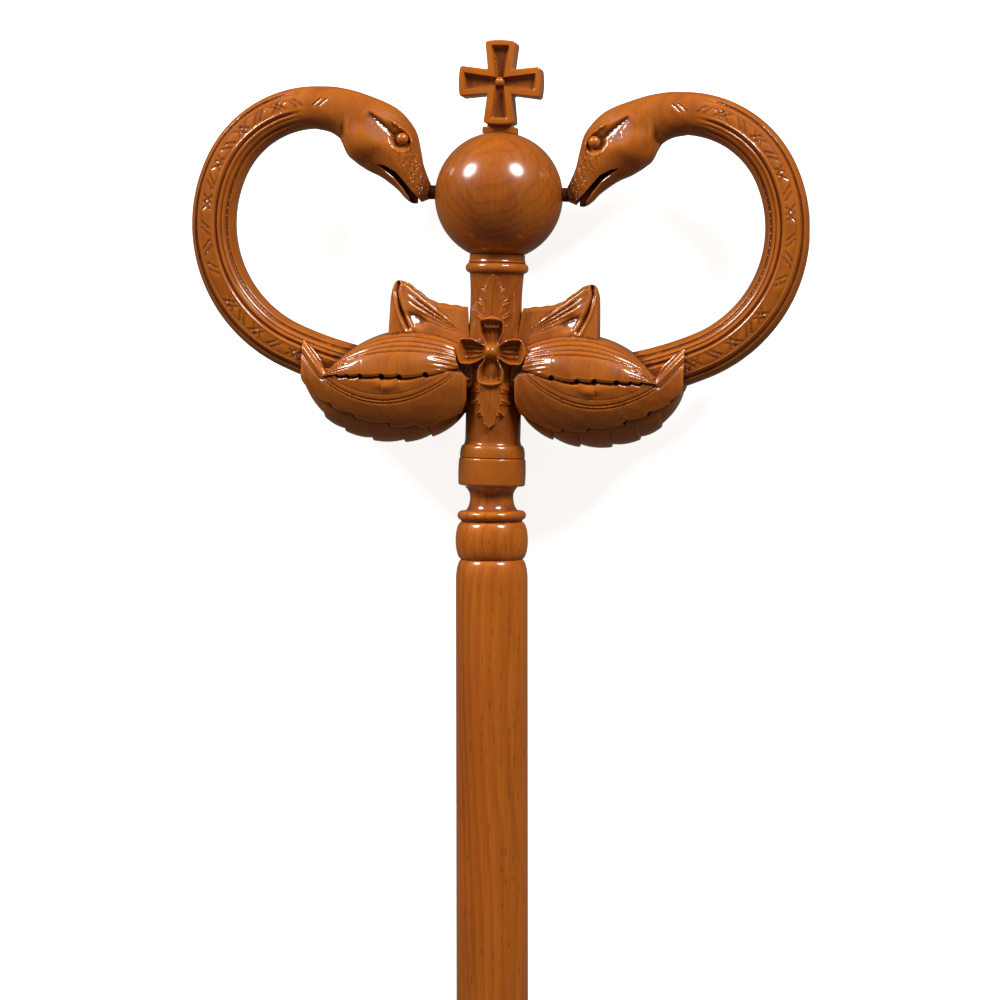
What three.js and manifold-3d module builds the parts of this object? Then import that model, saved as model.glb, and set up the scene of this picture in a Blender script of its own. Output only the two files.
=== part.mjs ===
// Bishop's crosier of carved wood: a turned staff under a head of two serpents that face an orb and cross.
// Millimetres. It lies on its back: the staff runs along Y with the cross towards +Y, and the carved front
// faces +Z. Heights on the head are measured along the staff's axis from the lower edge of the cup collar.
import * as THREE from "three";
import { LoftGeometry } from "three/addons/geometries/LoftGeometry.js";
import { mergeVertices } from "three/addons/utils/BufferGeometryUtils.js";
import Module from "manifold-3d";

const wasm = await Module();
wasm.setup();

const degree = Math.PI / 180;

// Fits between pieces
const seatGap = 0.3; // between two pieces that meet
const weld = 1e-4; // corners this close are one corner

// Staff: a plain round pole with a spool, a ring and a bead turned at its top
const staffLength = 1315.8; // from the cup collar's lower edge to the foot
const staffRadius = 15;
const footRounding = 3;
const spoolTopRadius = 11.2;
const spoolWaistRadius = 9;
const spoolWaistDrop = 4.5;
const ringRadius = 14.3;
const ringDrop = 12.4;
const ringHalfHeight = 1.9;
const beadRadius = 15.1;
const beadDrop = 22.9;
const beadHalfHeight = 7.8;
const turnedGrooveRadius = 12.6;
const shoulderHeight = 9; // from the groove under the bead to the full radius
const turningSides = 20;

// Head stem: the turned core of the head
const headLean = 1.5 * degree; // the head leans this far towards +X from the staff
const stemRadius = 11.5;
const cupRadius = 13.9;
const cupHeight = 10.4;
const cupShoulder = 8.8; // from the cup's rim up to the stem
const cupEdge = 0.9;
const neckRingRadius = 13.1;
const neckRingHeight = 90.4;
const neckRingHalfHeight = 2;
const stemWaistRadius = 10.7;
const stemWaistHeight = 76.4;

// Orb and cross
const orbRadius = 26.6;
const orbHeight = 120.2;
const orbSides = 20;
const crossHeight = 167; // the middle of the cross
const crossArm = 17.1;
const crossTop = 17.2;
const crossFoot = 17.6;
const crossThickness = 15;
const armHalfWidth = 5.1; // where the arms meet
const armFlare = 1.2; // added to the half width at each end
const crossRim = 2.2;
const crossRecess = 2.5;
const crossBevel = 0.8;
const crossBallRadius = 2;
const padThickness = 9; // the block between the orb and the cross
const padFlare = 0.8; // how far it stands out beyond the foot on each side
const padGroove = 0.7; // between the block and the foot
const padSunk = 3; // how far it reaches down into the orb's place

// Flower and leaves on the front of the stem
const flowerHeight = 55.7;
const petalReach = 14.4;
const petalStart = 2.2;
const petalHalfWidth = 5.6;
const petalBack = 9.5; // in front of the axis
const petalDepth = 5.6;
const petalHollow = 3.4;
const petalRim = 1.2;
const budRadius = 2.8;
const upperLeafLength = 22;
const upperLeafHalfWidth = 8;
const lowerLeafLength = 19.5;
const lowerLeafHalfWidth = 9.2;
const leafThickness = 1.9;
const upperLeafRoot = 10; // from the flower's middle
const lowerLeafRoot = 12;

// Serpent body: its middle line starts at the neck and turns clockwise through three arcs into its sheath
const neckX = 77.8;
const neckY = 155.6;
const neckHeading = -1.6 * degree;
const loopTopRadius = 42;
const loopSideRadius = 56.1;
const loopRootRadius = 150;
const bodyArcs = [
  { radius: loopTopRadius, turn: 63.7 * degree },
  { radius: loopSideRadius, turn: 91 * degree },
  { radius: loopRootRadius, turn: 23.5 * degree },
];
const bodyHalfWidthNeck = 8.9;
const bodyHalfWidthRoot = 9.8;
const bodyHalfDepth = 9.3;
const bodyStep = 9.4; // along the middle line
const bodyRootLength = 176; // along the middle line, its end hidden in the sheath
const grooveDepth = 1;
const grooveFade = 20; // along the body from the neck, to the grooves' full depth
const grooveHalfWidth = 0.09; // as a share of the body's half width
const frontGrooves = [-0.68, 0.26, 0.7]; // across the body, -1 at the outer edge and 1 at the inner
const bandMiddle = -0.2;

// Serpent head, in the plane of the loop: pairs of points on its top and underside, with its half depth
const headSections = [
  [79, 164.5, 79, 146.7, 9.2],
  [70, 164.4, 71, 145.2, 9.3],
  [61.5, 162.9, 66, 141.4, 9.9],
  [54, 160.5, 62.6, 135, 10.6],
  [48, 158.2, 56, 130.2, 10.8],
  [42.6, 155.2, 50, 127.4, 10.2],
  [38, 150.6, 45.5, 124.4, 9.1],
  [34.9, 145.7, 42, 121.6, 7.9],
  [33.2, 139, 39.4, 118.8, 6.7],
  [32, 133, 36.6, 116.8, 5.8],
  [30.4, 128.6, 34, 116.6, 5],
  [28.6, 124.4, 29.6, 118.2, 3.6],
];
const headSides = 12;
const cheek = { x: 55.4, y: 143, z: 2.4, alongX: 11.4, alongY: 10.6, alongZ: 9.6 };
const eyeX = 39.9;
const eyeY = 142.8;
const eyeRadius = 2.5;
const eyeDepth = 7.3; // the eyeball's middle, from the head's own middle plane
const browRadius = 1.6;
const browPoints = [
  [52.5, 154, 9.6],
  [45, 151.5, 9.6],
  [39.4, 148.3, 8.4],
  [36, 143.8, 7.2],
  [35.4, 138.6, 6.4],
];
const mouthLips = [
  [50.2, 132.1],
  [47, 131.6],
  [42.4, 129.1],
  [39.1, 125.4],
  [35.9, 121.6],
  [32.6, 117.9],
  [31, 113],
  [35, 113],
  [37.1, 119.1],
  [39.7, 122.8],
  [43.1, 126.9],
  [47, 129.9],
];
const mouthWebHalf = 1.6; // half the thickness left between the cuts from the two sides
const mouthWebTip = 34; // the jaws part fully beyond this
const pegRadius = 2.9;
const pegRoot = 31.5; // inside the snout
const snout = headSections.at(-1);
const pegHeight = (snout[1] + snout[3]) / 2;

// Leaf sheath that each serpent rises from
const sheathRootX = 12;
const sheathMiddle = 44;
const sheathBottom = { x: 42, y: 45, alongX: 37.6, alongY: 27.6 }; // an ellipse seen from the front
const lidTop = { x: 34, y: 22.2, radius: 42 }; // an arc seen from the front
const lidTipX = 69.3;
const leafTipX = 80.5;
const sheathFrontDepth = 21;
const sheathBackDepth = 24.6;
const sheathMouthDepth = 10.6;
const sheathWideX = 44; // where the sheath is deepest
const lidProud = 2.2; // above the leaf below it
const leafProud = 1.8;
const leafSink = 5; // how far a leaf's underside lies inside the sheath
const toothDepth = 1.3;
const notchHalf = 0.4; // from a notch to the foot of the tooth beside it
const lidNotches = [16, 25.9, 36.7, 43.9, 52.9, 61]; // distances from the axis
const lowerLeafNotches = [19.4, 30.4, 41.4, 56.5, 66.1, 75];
const underLeafNotches = [14, 25.4, 36.4, 50, 61.4, 70.5];
const tuckedShare = 0.2; // how far up the lid covers the lower leaf, as a share of the height there
const bareShare = 0.8; // how far up the lower leaf reaches at its tip
const curledLeafBack = -5;
const curledLeafFront = 9;
const curledLeafTop = [
  [10, 73.5],
  [18.5, 75],
  [26.4, 76.2],
  [32.7, 80.7],
  [39.9, 84.4],
  [43.1, 80.5],
  [43.6, 70],
];
const curledLeafMargin = curledLeafTop.at(-1)[0];
const curledLeafFoot = 40; // its lower end, inside the sheath
const stemReliefTop = 41; // below this the sheath stands clear of the stem
const stemReliefBottom = 24;
const stemReliefWidth = 3.4;
const stemReliefBack = -6; // behind this the sheath keeps to the stem

// Resting flats: the crosier lies on the backs of both sheaths and on the staff's foot
const restDepthHead = 27.6;
const restDepthFoot = 14.75;
const restHeight = 46; // where the sheaths' flats lie along the axis
const restTilt = Math.atan((restDepthHead - restDepthFoot) / (staffLength + restHeight));

// Lacquered beech
const lacquer = { roughness: 0.28, metalness: 0 };
const staffWood = new THREE.MeshStandardMaterial({ color: 0xb05f20, ...lacquer });
const carvedWood = new THREE.MeshStandardMaterial({ color: 0xb8682f, ...lacquer });
const orbWood = new THREE.MeshStandardMaterial({ color: 0xa3581f, ...lacquer });

// A closed geometry as a solid that can be joined and cut, its faces turned to point out.
function solidOf(geometry) {
  const bare = new THREE.BufferGeometry().copy(geometry);
  bare.deleteAttribute("normal");
  bare.deleteAttribute("uv");
  const merged = mergeVertices(bare, weld);
  const index = merged.index.array;
  const corners = [];
  for (let i = 0; i < index.length; i += 3) {
    const [a, b, c] = [index[i], index[i + 1], index[i + 2]];
    if (a !== b && b !== c && c !== a) corners.push(a, b, c);
  }
  const build = (triVerts) =>
    new wasm.Manifold(
      new wasm.Mesh({
        numProp: 3,
        vertProperties: merged.attributes.position.array,
        triVerts: new Uint32Array(triVerts),
      }),
    );
  const made = build(corners);
  return made.volume() >= 0 ? made : build(corners.reverse());
}

// A solid as a named mesh.
function meshOf(name, solid, material) {
  const made = solid.getMesh();
  const geometry = new THREE.BufferGeometry();
  geometry.setAttribute("position", new THREE.BufferAttribute(made.vertProperties, 3));
  geometry.setIndex(new THREE.BufferAttribute(made.triVerts, 1));
  geometry.computeVertexNormals();
  const mesh = new THREE.Mesh(geometry, material);
  mesh.name = name;
  return mesh;
}

// A solid turned about the Y axis from a profile of [radius, height] points.
function turned(profile, sides = turningSides) {
  const points = profile.map(([radius, height]) => new THREE.Vector2(radius, height));
  return solidOf(new THREE.LatheGeometry(points, sides));
}

// Profile points over a half-round moulding, from its lower edge to its upper.
function moulding(height, halfHeight, rootRadius, crownRadius, steps = 6) {
  return Array.from({ length: steps + 1 }, (_, i) => {
    const angle = (i / steps - 0.5) * Math.PI;
    const radius = rootRadius + (crownRadius - rootRadius) * Math.cos(angle);
    return [radius, height + halfHeight * Math.sin(angle)];
  });
}

function ellipsoid(alongX, alongY, alongZ, sides = 12) {
  const geometry = new THREE.SphereGeometry(1, sides, Math.round(sides * 0.7));
  geometry.rotateX(Math.PI / 2);
  geometry.scale(alongX, alongY, alongZ);
  return geometry;
}

// A solid skinned over closed sections, each end drawn together to the middle of its section.
function lofted(sections) {
  const gathered = (section) => {
    const sum = section.reduce((total, point) => total.add(point), new THREE.Vector3());
    return section.map(() => sum.clone().divideScalar(section.length));
  };
  return solidOf(new LoftGeometry([gathered(sections[0]), ...sections, gathered(sections.at(-1))]));
}

// Everything below the resting plane, seen in a frame that leans by the given angle.
function belowRest(lean) {
  const reach = 4 * staffLength;
  const block = new THREE.BoxGeometry(reach, reach, reach);
  block.translate(0, 0, -reach / 2);
  block.rotateX(-restTilt);
  block.translate(0, restHeight, -restDepthHead);
  block.rotateZ(lean);
  return solidOf(block);
}

// The staff's turned profile, from the foot to the top.
function staffSolid() {
  const foot = -staffLength;
  const shoulder = -beadDrop - beadHalfHeight;
  const footArc = [0, 1, 2, 3].map((i) => {
    const angle = (i / 3) * (Math.PI / 2);
    const radius = staffRadius - footRounding * (1 - Math.sin(angle));
    return [radius, foot + footRounding * (1 - Math.cos(angle))];
  });
  const shoulderArc = [0, 1, 2, 3].map((i) => {
    const angle = (i / 3) * (Math.PI / 2);
    const radius = turnedGrooveRadius + (staffRadius - turnedGrooveRadius) * Math.cos(angle);
    return [radius, shoulder - shoulderHeight * (1 - Math.sin(angle))];
  });
  const ringTop = -ringDrop + ringHalfHeight;
  return turned([
    [0, foot],
    ...footArc,
    ...shoulderArc,
    ...moulding(-beadDrop, beadHalfHeight, turnedGrooveRadius, beadRadius).slice(1),
    ...moulding(-ringDrop, ringHalfHeight, turnedGrooveRadius, ringRadius, 4).slice(1, -1),
    [(ringRadius + spoolWaistRadius) / 2, ringTop],
    [spoolWaistRadius + 0.5, (ringTop - spoolWaistDrop) / 2],
    [spoolWaistRadius, -spoolWaistDrop],
    [spoolWaistRadius + 0.7, -spoolWaistDrop / 2],
    [spoolTopRadius, -seatGap],
    [0, -seatGap],
  ]).subtract(belowRest(0));
}

// The radius of the plain stem at a height.
function stemRadiusAt(height) {
  const away = Math.min(1, Math.abs(height - stemWaistHeight) / (neckRingHeight - stemWaistHeight));
  return stemWaistRadius + (stemRadius - stemWaistRadius) * away * away;
}

function stemCore() {
  const stemStart = cupHeight + cupShoulder;
  const plain = [flowerHeight, stemWaistHeight, neckRingHeight - neckRingHalfHeight];
  const seat = orbHeight - Math.sqrt(orbRadius ** 2 - stemRadius ** 2) + 1;
  return turned([
    [0, 0],
    [cupRadius - cupEdge, 0],
    [cupRadius, cupEdge],
    [cupRadius, cupHeight],
    [cupRadius - 0.7, cupHeight + 1.1],
    [stemRadius + 0.5, cupHeight + cupShoulder / 2],
    [stemRadius, stemStart],
    ...plain.slice(0, 2).map((height) => [stemRadiusAt(height), height]),
    ...moulding(neckRingHeight, neckRingHalfHeight, stemRadius, neckRingRadius, 5),
    [stemRadius, seat],
    [0, seat],
  ]);
}

// One cupped petal that points along +X, its rim towards +Z.
function petal() {
  const shape = new THREE.Shape();
  const shoulder = petalReach - petalHalfWidth * 0.7;
  shape.moveTo(petalStart, -petalHalfWidth * 0.45);
  shape.quadraticCurveTo(shoulder * 0.7, -petalHalfWidth * 1.1, shoulder, -petalHalfWidth);
  shape.bezierCurveTo(
    petalReach,
    -petalHalfWidth * 0.9,
    petalReach,
    petalHalfWidth * 0.9,
    shoulder,
    petalHalfWidth,
  );
  shape.quadraticCurveTo(shoulder * 0.7, petalHalfWidth * 1.1, petalStart, petalHalfWidth * 0.45);
  const block = new THREE.ExtrudeGeometry(shape, {
    depth: petalDepth,
    bevelEnabled: false,
    curveSegments: 3,
  });
  block.translate(0, 0, petalBack);
  const hollowReach = (petalReach - petalStart) / 2 - petalRim / 2;
  const hollow = ellipsoid(hollowReach, petalHalfWidth - petalRim, petalHollow, 8);
  hollow.translate((petalReach + petalStart) / 2, 0, petalBack + petalDepth);
  return solidOf(block).subtract(solidOf(hollow));
}

function flower() {
  const bud = solidOf(ellipsoid(budRadius, budRadius, budRadius, 8)).translate([
    0,
    0,
    petalBack + petalDepth - budRadius / 2,
  ]);
  const base = solidOf(ellipsoid(petalStart + 2, petalStart + 2, petalDepth, 8)).translate([
    0,
    0,
    petalBack,
  ]);
  const petals = [0, 90, 180, 270].map((angle) => petal().rotate([0, 0, angle]));
  return petals.reduce((whole, one) => whole.add(one), base.add(bud)).translate([0, flowerHeight, 0]);
}

// Half width of a lobed leaf at a share of its length from the root, with its lobes cut in.
function lobedHalfWidth(share, halfWidth, lobes, bite) {
  const outline = halfWidth * Math.sin(Math.PI * Math.min(1, 0.3 + 0.7 * share)) ** 0.7;
  const tooth = (share * lobes) % 1;
  return Math.max(0.5, outline * (1 - bite * (1 - tooth)));
}

// A lobed leaf laid on the stem's front from its root height, up or down, grown by the room it needs.
function stemLeaf(root, length, direction, halfWidth, grown = 0) {
  const stations = 12;
  const across = [-1, 0, 1];
  const sections = Array.from({ length: stations }, (_, i) => {
    const share = i / (stations - 1);
    const height = root + direction * length * share;
    const half = grown + lobedHalfWidth(share, halfWidth, 4, 0.22);
    const radius = stemRadiusAt(height);
    const place = (u, lift) => {
      const x = u * half;
      return new THREE.Vector3(x, height, Math.sqrt(Math.max(1, radius ** 2 - x ** 2)) + lift);
    };
    return [
      ...across.map((u) => place(u, grown + leafThickness * (1 - 0.3 * u * u))),
      ...across.toReversed().map((u) => place(u, -2)),
    ];
  });
  return lofted(sections);
}

// The upright leaf above the flower and the hanging one below it.
function stemLeaves(grown = 0) {
  const root = flowerHeight + upperLeafRoot;
  return stemLeaf(root, upperLeafLength, 1, upperLeafHalfWidth, grown).add(
    stemLeaf(flowerHeight - lowerLeafRoot, lowerLeafLength, -1, lowerLeafHalfWidth, grown),
  );
}

// The orb's place, with the gap that its neighbours keep.
function orbRoom() {
  const radius = orbRadius + seatGap;
  return solidOf(ellipsoid(radius, radius, radius, orbSides)).translate([0, orbHeight, 0]);
}

function headStemSolid() {
  return stemCore().add(flower()).add(stemLeaves()).subtract(orbRoom());
}

function orbSolid() {
  return solidOf(ellipsoid(orbRadius, orbRadius, orbRadius, orbSides)).translate([0, orbHeight, 0]);
}

// The outline of a cross with flared arms, drawn in from its edge by an inset.
function crossOutline(inset) {
  const shape = new THREE.Shape();
  const inner = armHalfWidth - inset;
  const reaches = [crossArm, crossTop, crossArm, crossFoot];
  reaches.forEach((reach, i) => {
    const turn = (i * Math.PI) / 2;
    const end = armHalfWidth + armFlare - inset;
    const corners = [
      [inner, -inner],
      [reach - inset, -end],
      [reach - inset, end],
    ];
    corners.forEach(([x, y], k) => {
      const point = new THREE.Vector2(x, y).rotateAround(new THREE.Vector2(), turn);
      if (i === 0 && k === 0) shape.moveTo(point.x, point.y);
      else shape.lineTo(point.x, point.y);
    });
  });
  shape.closePath();
  return shape;
}

function crossSolid() {
  const body = new THREE.ExtrudeGeometry(crossOutline(crossBevel), {
    depth: crossThickness - 2 * crossBevel,
    bevelThickness: crossBevel,
    bevelSize: crossBevel,
    bevelSegments: 1,
  });
  body.translate(0, 0, -crossThickness / 2 + crossBevel);
  const recess = new THREE.ExtrudeGeometry(crossOutline(crossRim), {
    depth: crossRecess * 2,
    bevelEnabled: false,
  });
  recess.translate(0, 0, crossThickness / 2 - crossRecess);
  const recessBack = recess.clone().rotateY(Math.PI);
  const ballAt = crossThickness / 2 - crossRecess + crossBallRadius / 2;
  const ball = solidOf(ellipsoid(crossBallRadius, crossBallRadius, crossBallRadius, 8));
  const padHalf = armHalfWidth + armFlare + padFlare;
  const padTop = -crossFoot - padGroove;
  const padBottom = orbHeight - crossHeight + orbRadius - padSunk;
  const pad = new THREE.BoxGeometry(2 * padHalf, padTop - padBottom, padThickness);
  pad.translate(0, (padTop + padBottom) / 2, 0);
  const neck = new THREE.BoxGeometry(2 * armHalfWidth, 3 * padGroove, padThickness - 2 * padGroove);
  neck.translate(0, padTop + padGroove / 2, 0);
  return solidOf(body)
    .subtract(solidOf(recess))
    .subtract(solidOf(recessBack))
    .add(ball.translate([0, 0, ballAt]))
    .add(ball.translate([0, 0, -ballAt]))
    .add(solidOf(pad))
    .add(solidOf(neck))
    .translate([0, crossHeight, 0])
    .subtract(orbRoom());
}

// The point and heading of a serpent's middle line at a distance from the neck.
function bodyLine(distance) {
  let [x, y, heading, left] = [neckX, neckY, neckHeading, distance];
  for (const { radius, turn } of bodyArcs) {
    const used = Math.min(turn, Math.max(0, left) / radius);
    const centreX = x + radius * Math.sin(heading);
    const centreY = y - radius * Math.cos(heading);
    heading -= used;
    x = centreX - radius * Math.sin(heading);
    y = centreY + radius * Math.cos(heading);
    left -= radius * turn;
    if (left <= 0) break;
  }
  return { x, y, heading };
}

// How far a groove cuts in at a place across the body.
function grooveAt(u) {
  return frontGrooves.reduce((deep, middle) => {
    const away = Math.abs(u - middle) / grooveHalfWidth;
    return Math.max(deep, away < 1 ? grooveDepth * (1 - away) : 0);
  }, 0);
}

// The serpent's body: a rounded section with a band between grooves, swept along its middle line.
function serpentBody() {
  const front = [-1, -0.88];
  for (const middle of frontGrooves) {
    front.push(middle - grooveHalfWidth, middle, middle + grooveHalfWidth);
  }
  front.push(bandMiddle, 0.9, 1);
  front.sort((a, b) => a - b);
  const back = [0.75, 0, -0.75];
  const round = (u) => (1 - Math.abs(u) ** 2.3) ** (1 / 2.3);
  const steps = Math.round(bodyRootLength / bodyStep);
  const sections = Array.from({ length: steps + 1 }, (_, i) => {
    const along = i / steps;
    const { x, y, heading } = bodyLine(along * bodyRootLength);
    const half = bodyHalfWidthNeck + (bodyHalfWidthRoot - bodyHalfWidthNeck) * along;
    const fade = Math.min(1, (along * bodyRootLength) / grooveFade);
    const place = (u, w) =>
      new THREE.Vector3(x + u * half * Math.sin(heading), y - u * half * Math.cos(heading), w);
    return [
      ...front.map((u) => place(u, bodyHalfDepth * round(u) - fade * grooveAt(u))),
      ...back.map((u) => place(u, -bodyHalfDepth * round(u))),
    ];
  });
  return lofted(sections);
}

// The serpent's head with its cheeks, brows, eyes, open mouth and the peg that meets the orb.
function serpentHead() {
  const sections = headSections.map(([topX, topY, underX, underY, depth]) =>
    Array.from({ length: headSides }, (_, i) => {
      const angle = (i / headSides) * 2 * Math.PI;
      const [c, s] = [Math.cos(angle), Math.sin(angle)];
      const across = Math.sign(c) * Math.abs(c) ** 0.9;
      const out = Math.sign(s) * Math.abs(s) ** 0.85;
      return new THREE.Vector3(
        (topX + underX) / 2 + ((topX - underX) / 2) * across,
        (topY + underY) / 2 + ((topY - underY) / 2) * across,
        depth * out,
      );
    }),
  );
  let head = lofted(sections);
  for (const side of [1, -1]) {
    const cheekBall = ellipsoid(cheek.alongX, cheek.alongY, cheek.alongZ, 8);
    cheekBall.translate(cheek.x, cheek.y, side * cheek.z);
    const ball = ellipsoid(eyeRadius, eyeRadius, eyeRadius, 8).translate(eyeX, eyeY, side * eyeDepth);
    const brow = browPoints.map(([x, y, z]) => new THREE.Vector3(x, y, side * (z - browRadius / 2)));
    head = head.add(solidOf(cheekBall)).add(tube(brow, browRadius)).add(solidOf(ball));
  }
  const mouth = new THREE.ExtrudeGeometry(
    new THREE.Shape(mouthLips.map(([x, y]) => new THREE.Vector2(x, y))),
    { depth: 4 * bodyHalfDepth, bevelEnabled: false },
  );
  mouth.translate(0, 0, -2 * bodyHalfDepth);
  const [cornerX, cornerY] = mouthLips[0];
  const mouthReach = cornerX - mouthWebTip;
  const slab = new THREE.BoxGeometry(mouthReach, 2 * mouthReach, 2 * mouthWebHalf);
  slab.translate(mouthWebTip + mouthReach / 2, cornerY - mouthReach / 2, 0);
  const web = head.intersect(solidOf(slab));
  const peg = new THREE.CylinderGeometry(pegRadius, pegRadius, pegRoot, 10);
  peg.rotateZ(Math.PI / 2).translate(pegRoot / 2, pegHeight, 0);
  return head.subtract(solidOf(mouth)).add(web).add(solidOf(peg).subtract(orbRoom()));
}

// A round tube through points, with closed ends.
function tube(points, radius) {
  const curve = new THREE.CatmullRomCurve3(points);
  const section = new THREE.Shape().absarc(0, 0, radius, 0, 2 * Math.PI);
  return solidOf(
    new THREE.ExtrudeGeometry(section, { steps: 5, extrudePath: curve, curveSegments: 2 }),
  );
}

// Outlines of the sheath seen from the front, at a distance from the axis
function sheathLowerEdge(x) {
  const share = (x - sheathBottom.x) / sheathBottom.alongX;
  return sheathBottom.y - sheathBottom.alongY * Math.sqrt(Math.max(0, 1 - share * share));
}

function bodyMiddle(x) {
  const root = bodyLine(bodyRootLength);
  const mouth = bodyLine(bodyArcs[0].radius * bodyArcs[0].turn + bodyArcs[1].radius * bodyArcs[1].turn);
  return root.y + ((x - root.x) * (mouth.y - root.y)) / (mouth.x - root.x);
}

function bodyUpperEdge(x) {
  return bodyMiddle(x) + bodyHalfWidthRoot;
}

function lidUpperEdge(x) {
  const across = Math.min(Math.abs(x - lidTop.x), lidTipX - lidTop.x);
  return lidTop.y + Math.sqrt(lidTop.radius ** 2 - across ** 2);
}

function sheathDepth(x, widest) {
  const share = (x - sheathWideX) / (leafTipX - sheathWideX);
  return sheathMouthDepth + (widest - sheathMouthDepth) * (1 - share * share);
}

// A point on the sheath at a distance from the axis and an angle round it: 0 front, 90 top, 180 back.
function sheathPoint(x, angle, upper, lower, proud) {
  const [c, s] = [Math.cos(angle), Math.sin(angle)];
  const reach = s >= 0 ? upper - sheathMiddle : sheathMiddle - lower;
  const depth = sheathDepth(x, c >= 0 ? sheathFrontDepth : sheathBackDepth);
  return new THREE.Vector3(x, sheathMiddle + (reach + proud) * s, (depth + proud) * c);
}

// The lower leaf reaches up over the serpent's body where it passes the lid's tip.
function lowerLeafUpperEdge(x) {
  return Math.max(lidUpperEdge(x), bodyUpperEdge(x));
}

// A saw-toothed margin: 0 just past each notch, rising to 1 at the tooth before the next.
function tooth(x, notches) {
  const next = notches.findIndex((notch) => notch > x);
  return next < 1 ? 0 : (x - notches[next - 1]) / (notches[next] - notches[next - 1]);
}

// Stations along the sheath that meet each notch from both sides.
function notchStations(startX, endX, notches) {
  const beside = notches.flatMap((x) => [x - notchHalf, x + notchHalf]);
  return [startX, ...beside.filter((x) => x > startX && x < endX), endX];
}

// The rounded bulk of the sheath with the under leaf's toothed lower edge.
function sheathBulk() {
  const around = 8;
  const ends = notchStations(sheathRootX - 4, leafTipX - 2, underLeafNotches);
  const between = underLeafNotches.slice(1).map((x, i) => (x + underLeafNotches[i]) / 2);
  const stations = [...ends, ...between].sort((a, b) => a - b);
  const sections = stations.map((x) => {
    const upper = lidUpperEdge(x) - lidProud;
    const lower = sheathLowerEdge(x) + toothDepth * (0.5 - tooth(x, underLeafNotches));
    return Array.from({ length: around }, (_, k) =>
      sheathPoint(x, (k / around) * 2 * Math.PI, upper, Math.min(lower, sheathMiddle - 2), 0),
    );
  });
  return lofted(sections);
}

// A leaf lying on the sheath between two angles that are functions of x, at stations along it.
function sheathLeaf({ stations, from, to, upperEdge, across, proud, side }) {
  const sections = stations.map((x) => {
    const [first, last] = [from(x), to(x)];
    const ring = (out) =>
      Array.from({ length: across + 1 }, (_, k) => {
        const angle = first + ((last - first) * k) / across;
        const facing = side > 0 ? angle : Math.PI - angle;
        return sheathPoint(x, facing, upperEdge(x) - proud, sheathLowerEdge(x), out);
      });
    return [...ring(proud), ...ring(-leafSink).toReversed()];
  });
  return lofted(sections);
}

// The lid's lower margin as an angle round the sheath: it rises towards the stem.
function lidMargin(x) {
  const rise = Math.max(0, (35 - x) / 21);
  return (-1 - 6 * tooth(x, lidNotches) + 22 * rise * rise) * degree;
}

function lowerLeafMargin(x) {
  const share = (x - sheathRootX) / (leafTipX - sheathRootX);
  return (-53 + 28 * share - 6 * tooth(x, lowerLeafNotches)) * degree;
}

// The curled leaf that stands above the lid, its outer margin upright.
function curledLeaf() {
  const top = new THREE.CatmullRomCurve3(curledLeafTop.map(([x, y]) => new THREE.Vector3(x, y, 0)));
  const sections = top.getPoints(9).map(({ x, y }) => {
    const span = (x - sheathRootX) / (curledLeafMargin - sheathRootX);
    const front = curledLeafFront + 3 * span;
    const rows = [0, 0.4, 0.7, 1];
    const at = (share, z) => new THREE.Vector3(x, curledLeafFoot + (y - curledLeafFoot) * share, z);
    return [
      ...rows.map((share) => at(share, front - 6 * share * share)),
      ...rows.toReversed().map((share) => at(share, curledLeafBack + 4 * share * share)),
    ];
  });
  return lofted(sections);
}

// The room that the stem, its flower and its leaves need from the sheath beside them.
function stemRoom() {
  const clear = stemRadius + seatGap;
  const room = turned([
    [0, 0],
    [clear, 0],
    [clear, neckRingHeight],
    [0, neckRingHeight],
  ]);
  const relief = turned([
    [0, 0],
    [clear + stemReliefWidth, 0],
    [clear + stemReliefWidth, stemReliefBottom],
    [clear, stemReliefTop],
    [0, stemReliefTop],
  ]);
  const front = new THREE.BoxGeometry(neckRingHeight, neckRingHeight, neckRingHeight);
  front.translate(0, neckRingHeight / 2, neckRingHeight / 2 + stemReliefBack);
  const disc = new THREE.CylinderGeometry(petalReach + seatGap, petalReach + seatGap, 40, 16);
  disc.rotateX(Math.PI / 2).translate(0, flowerHeight, 20 + petalBack - seatGap);
  return room.add(relief.intersect(solidOf(front))).add(solidOf(disc)).add(stemLeaves(seatGap));
}

// The sheath: its bulk, the lid and lower leaf on the front and the back, and the curled leaf.
function leafSheath() {
  let sheath = sheathBulk().add(curledLeaf());
  const wrapped = () => 84 * degree;
  const underLid = (x) => {
    const past = Math.max(0, x - lidTipX) / (leafTipX - lidTipX);
    return Math.asin(Math.min(bareShare, tuckedShare + (bareShare - tuckedShare) * past ** 0.6));
  };
  const startX = sheathRootX - 2;
  const plainStations = (endX) => [0, 1, 2, 3, 4, 5].map((i) => startX + ((endX - startX) * i) / 5);
  const lid = {
    from: lidMargin,
    to: wrapped,
    upperEdge: lidUpperEdge,
    across: 3,
    proud: lidProud + leafProud,
  };
  const lower = {
    from: lowerLeafMargin,
    to: underLid,
    upperEdge: lowerLeafUpperEdge,
    across: 2,
    proud: leafProud,
  };
  const lowerEnd = leafTipX - 1;
  sheath = sheath
    .add(sheathLeaf({ ...lid, stations: notchStations(startX, lidTipX, lidNotches), side: 1 }))
    .add(sheathLeaf({ ...lower, stations: notchStations(startX, lowerEnd, lowerLeafNotches), side: 1 }))
    .add(sheathLeaf({ ...lid, stations: plainStations(lidTipX), side: -1 }))
    .add(sheathLeaf({ ...lower, stations: plainStations(lowerEnd), side: -1 }));
  return sheath;
}

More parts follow.
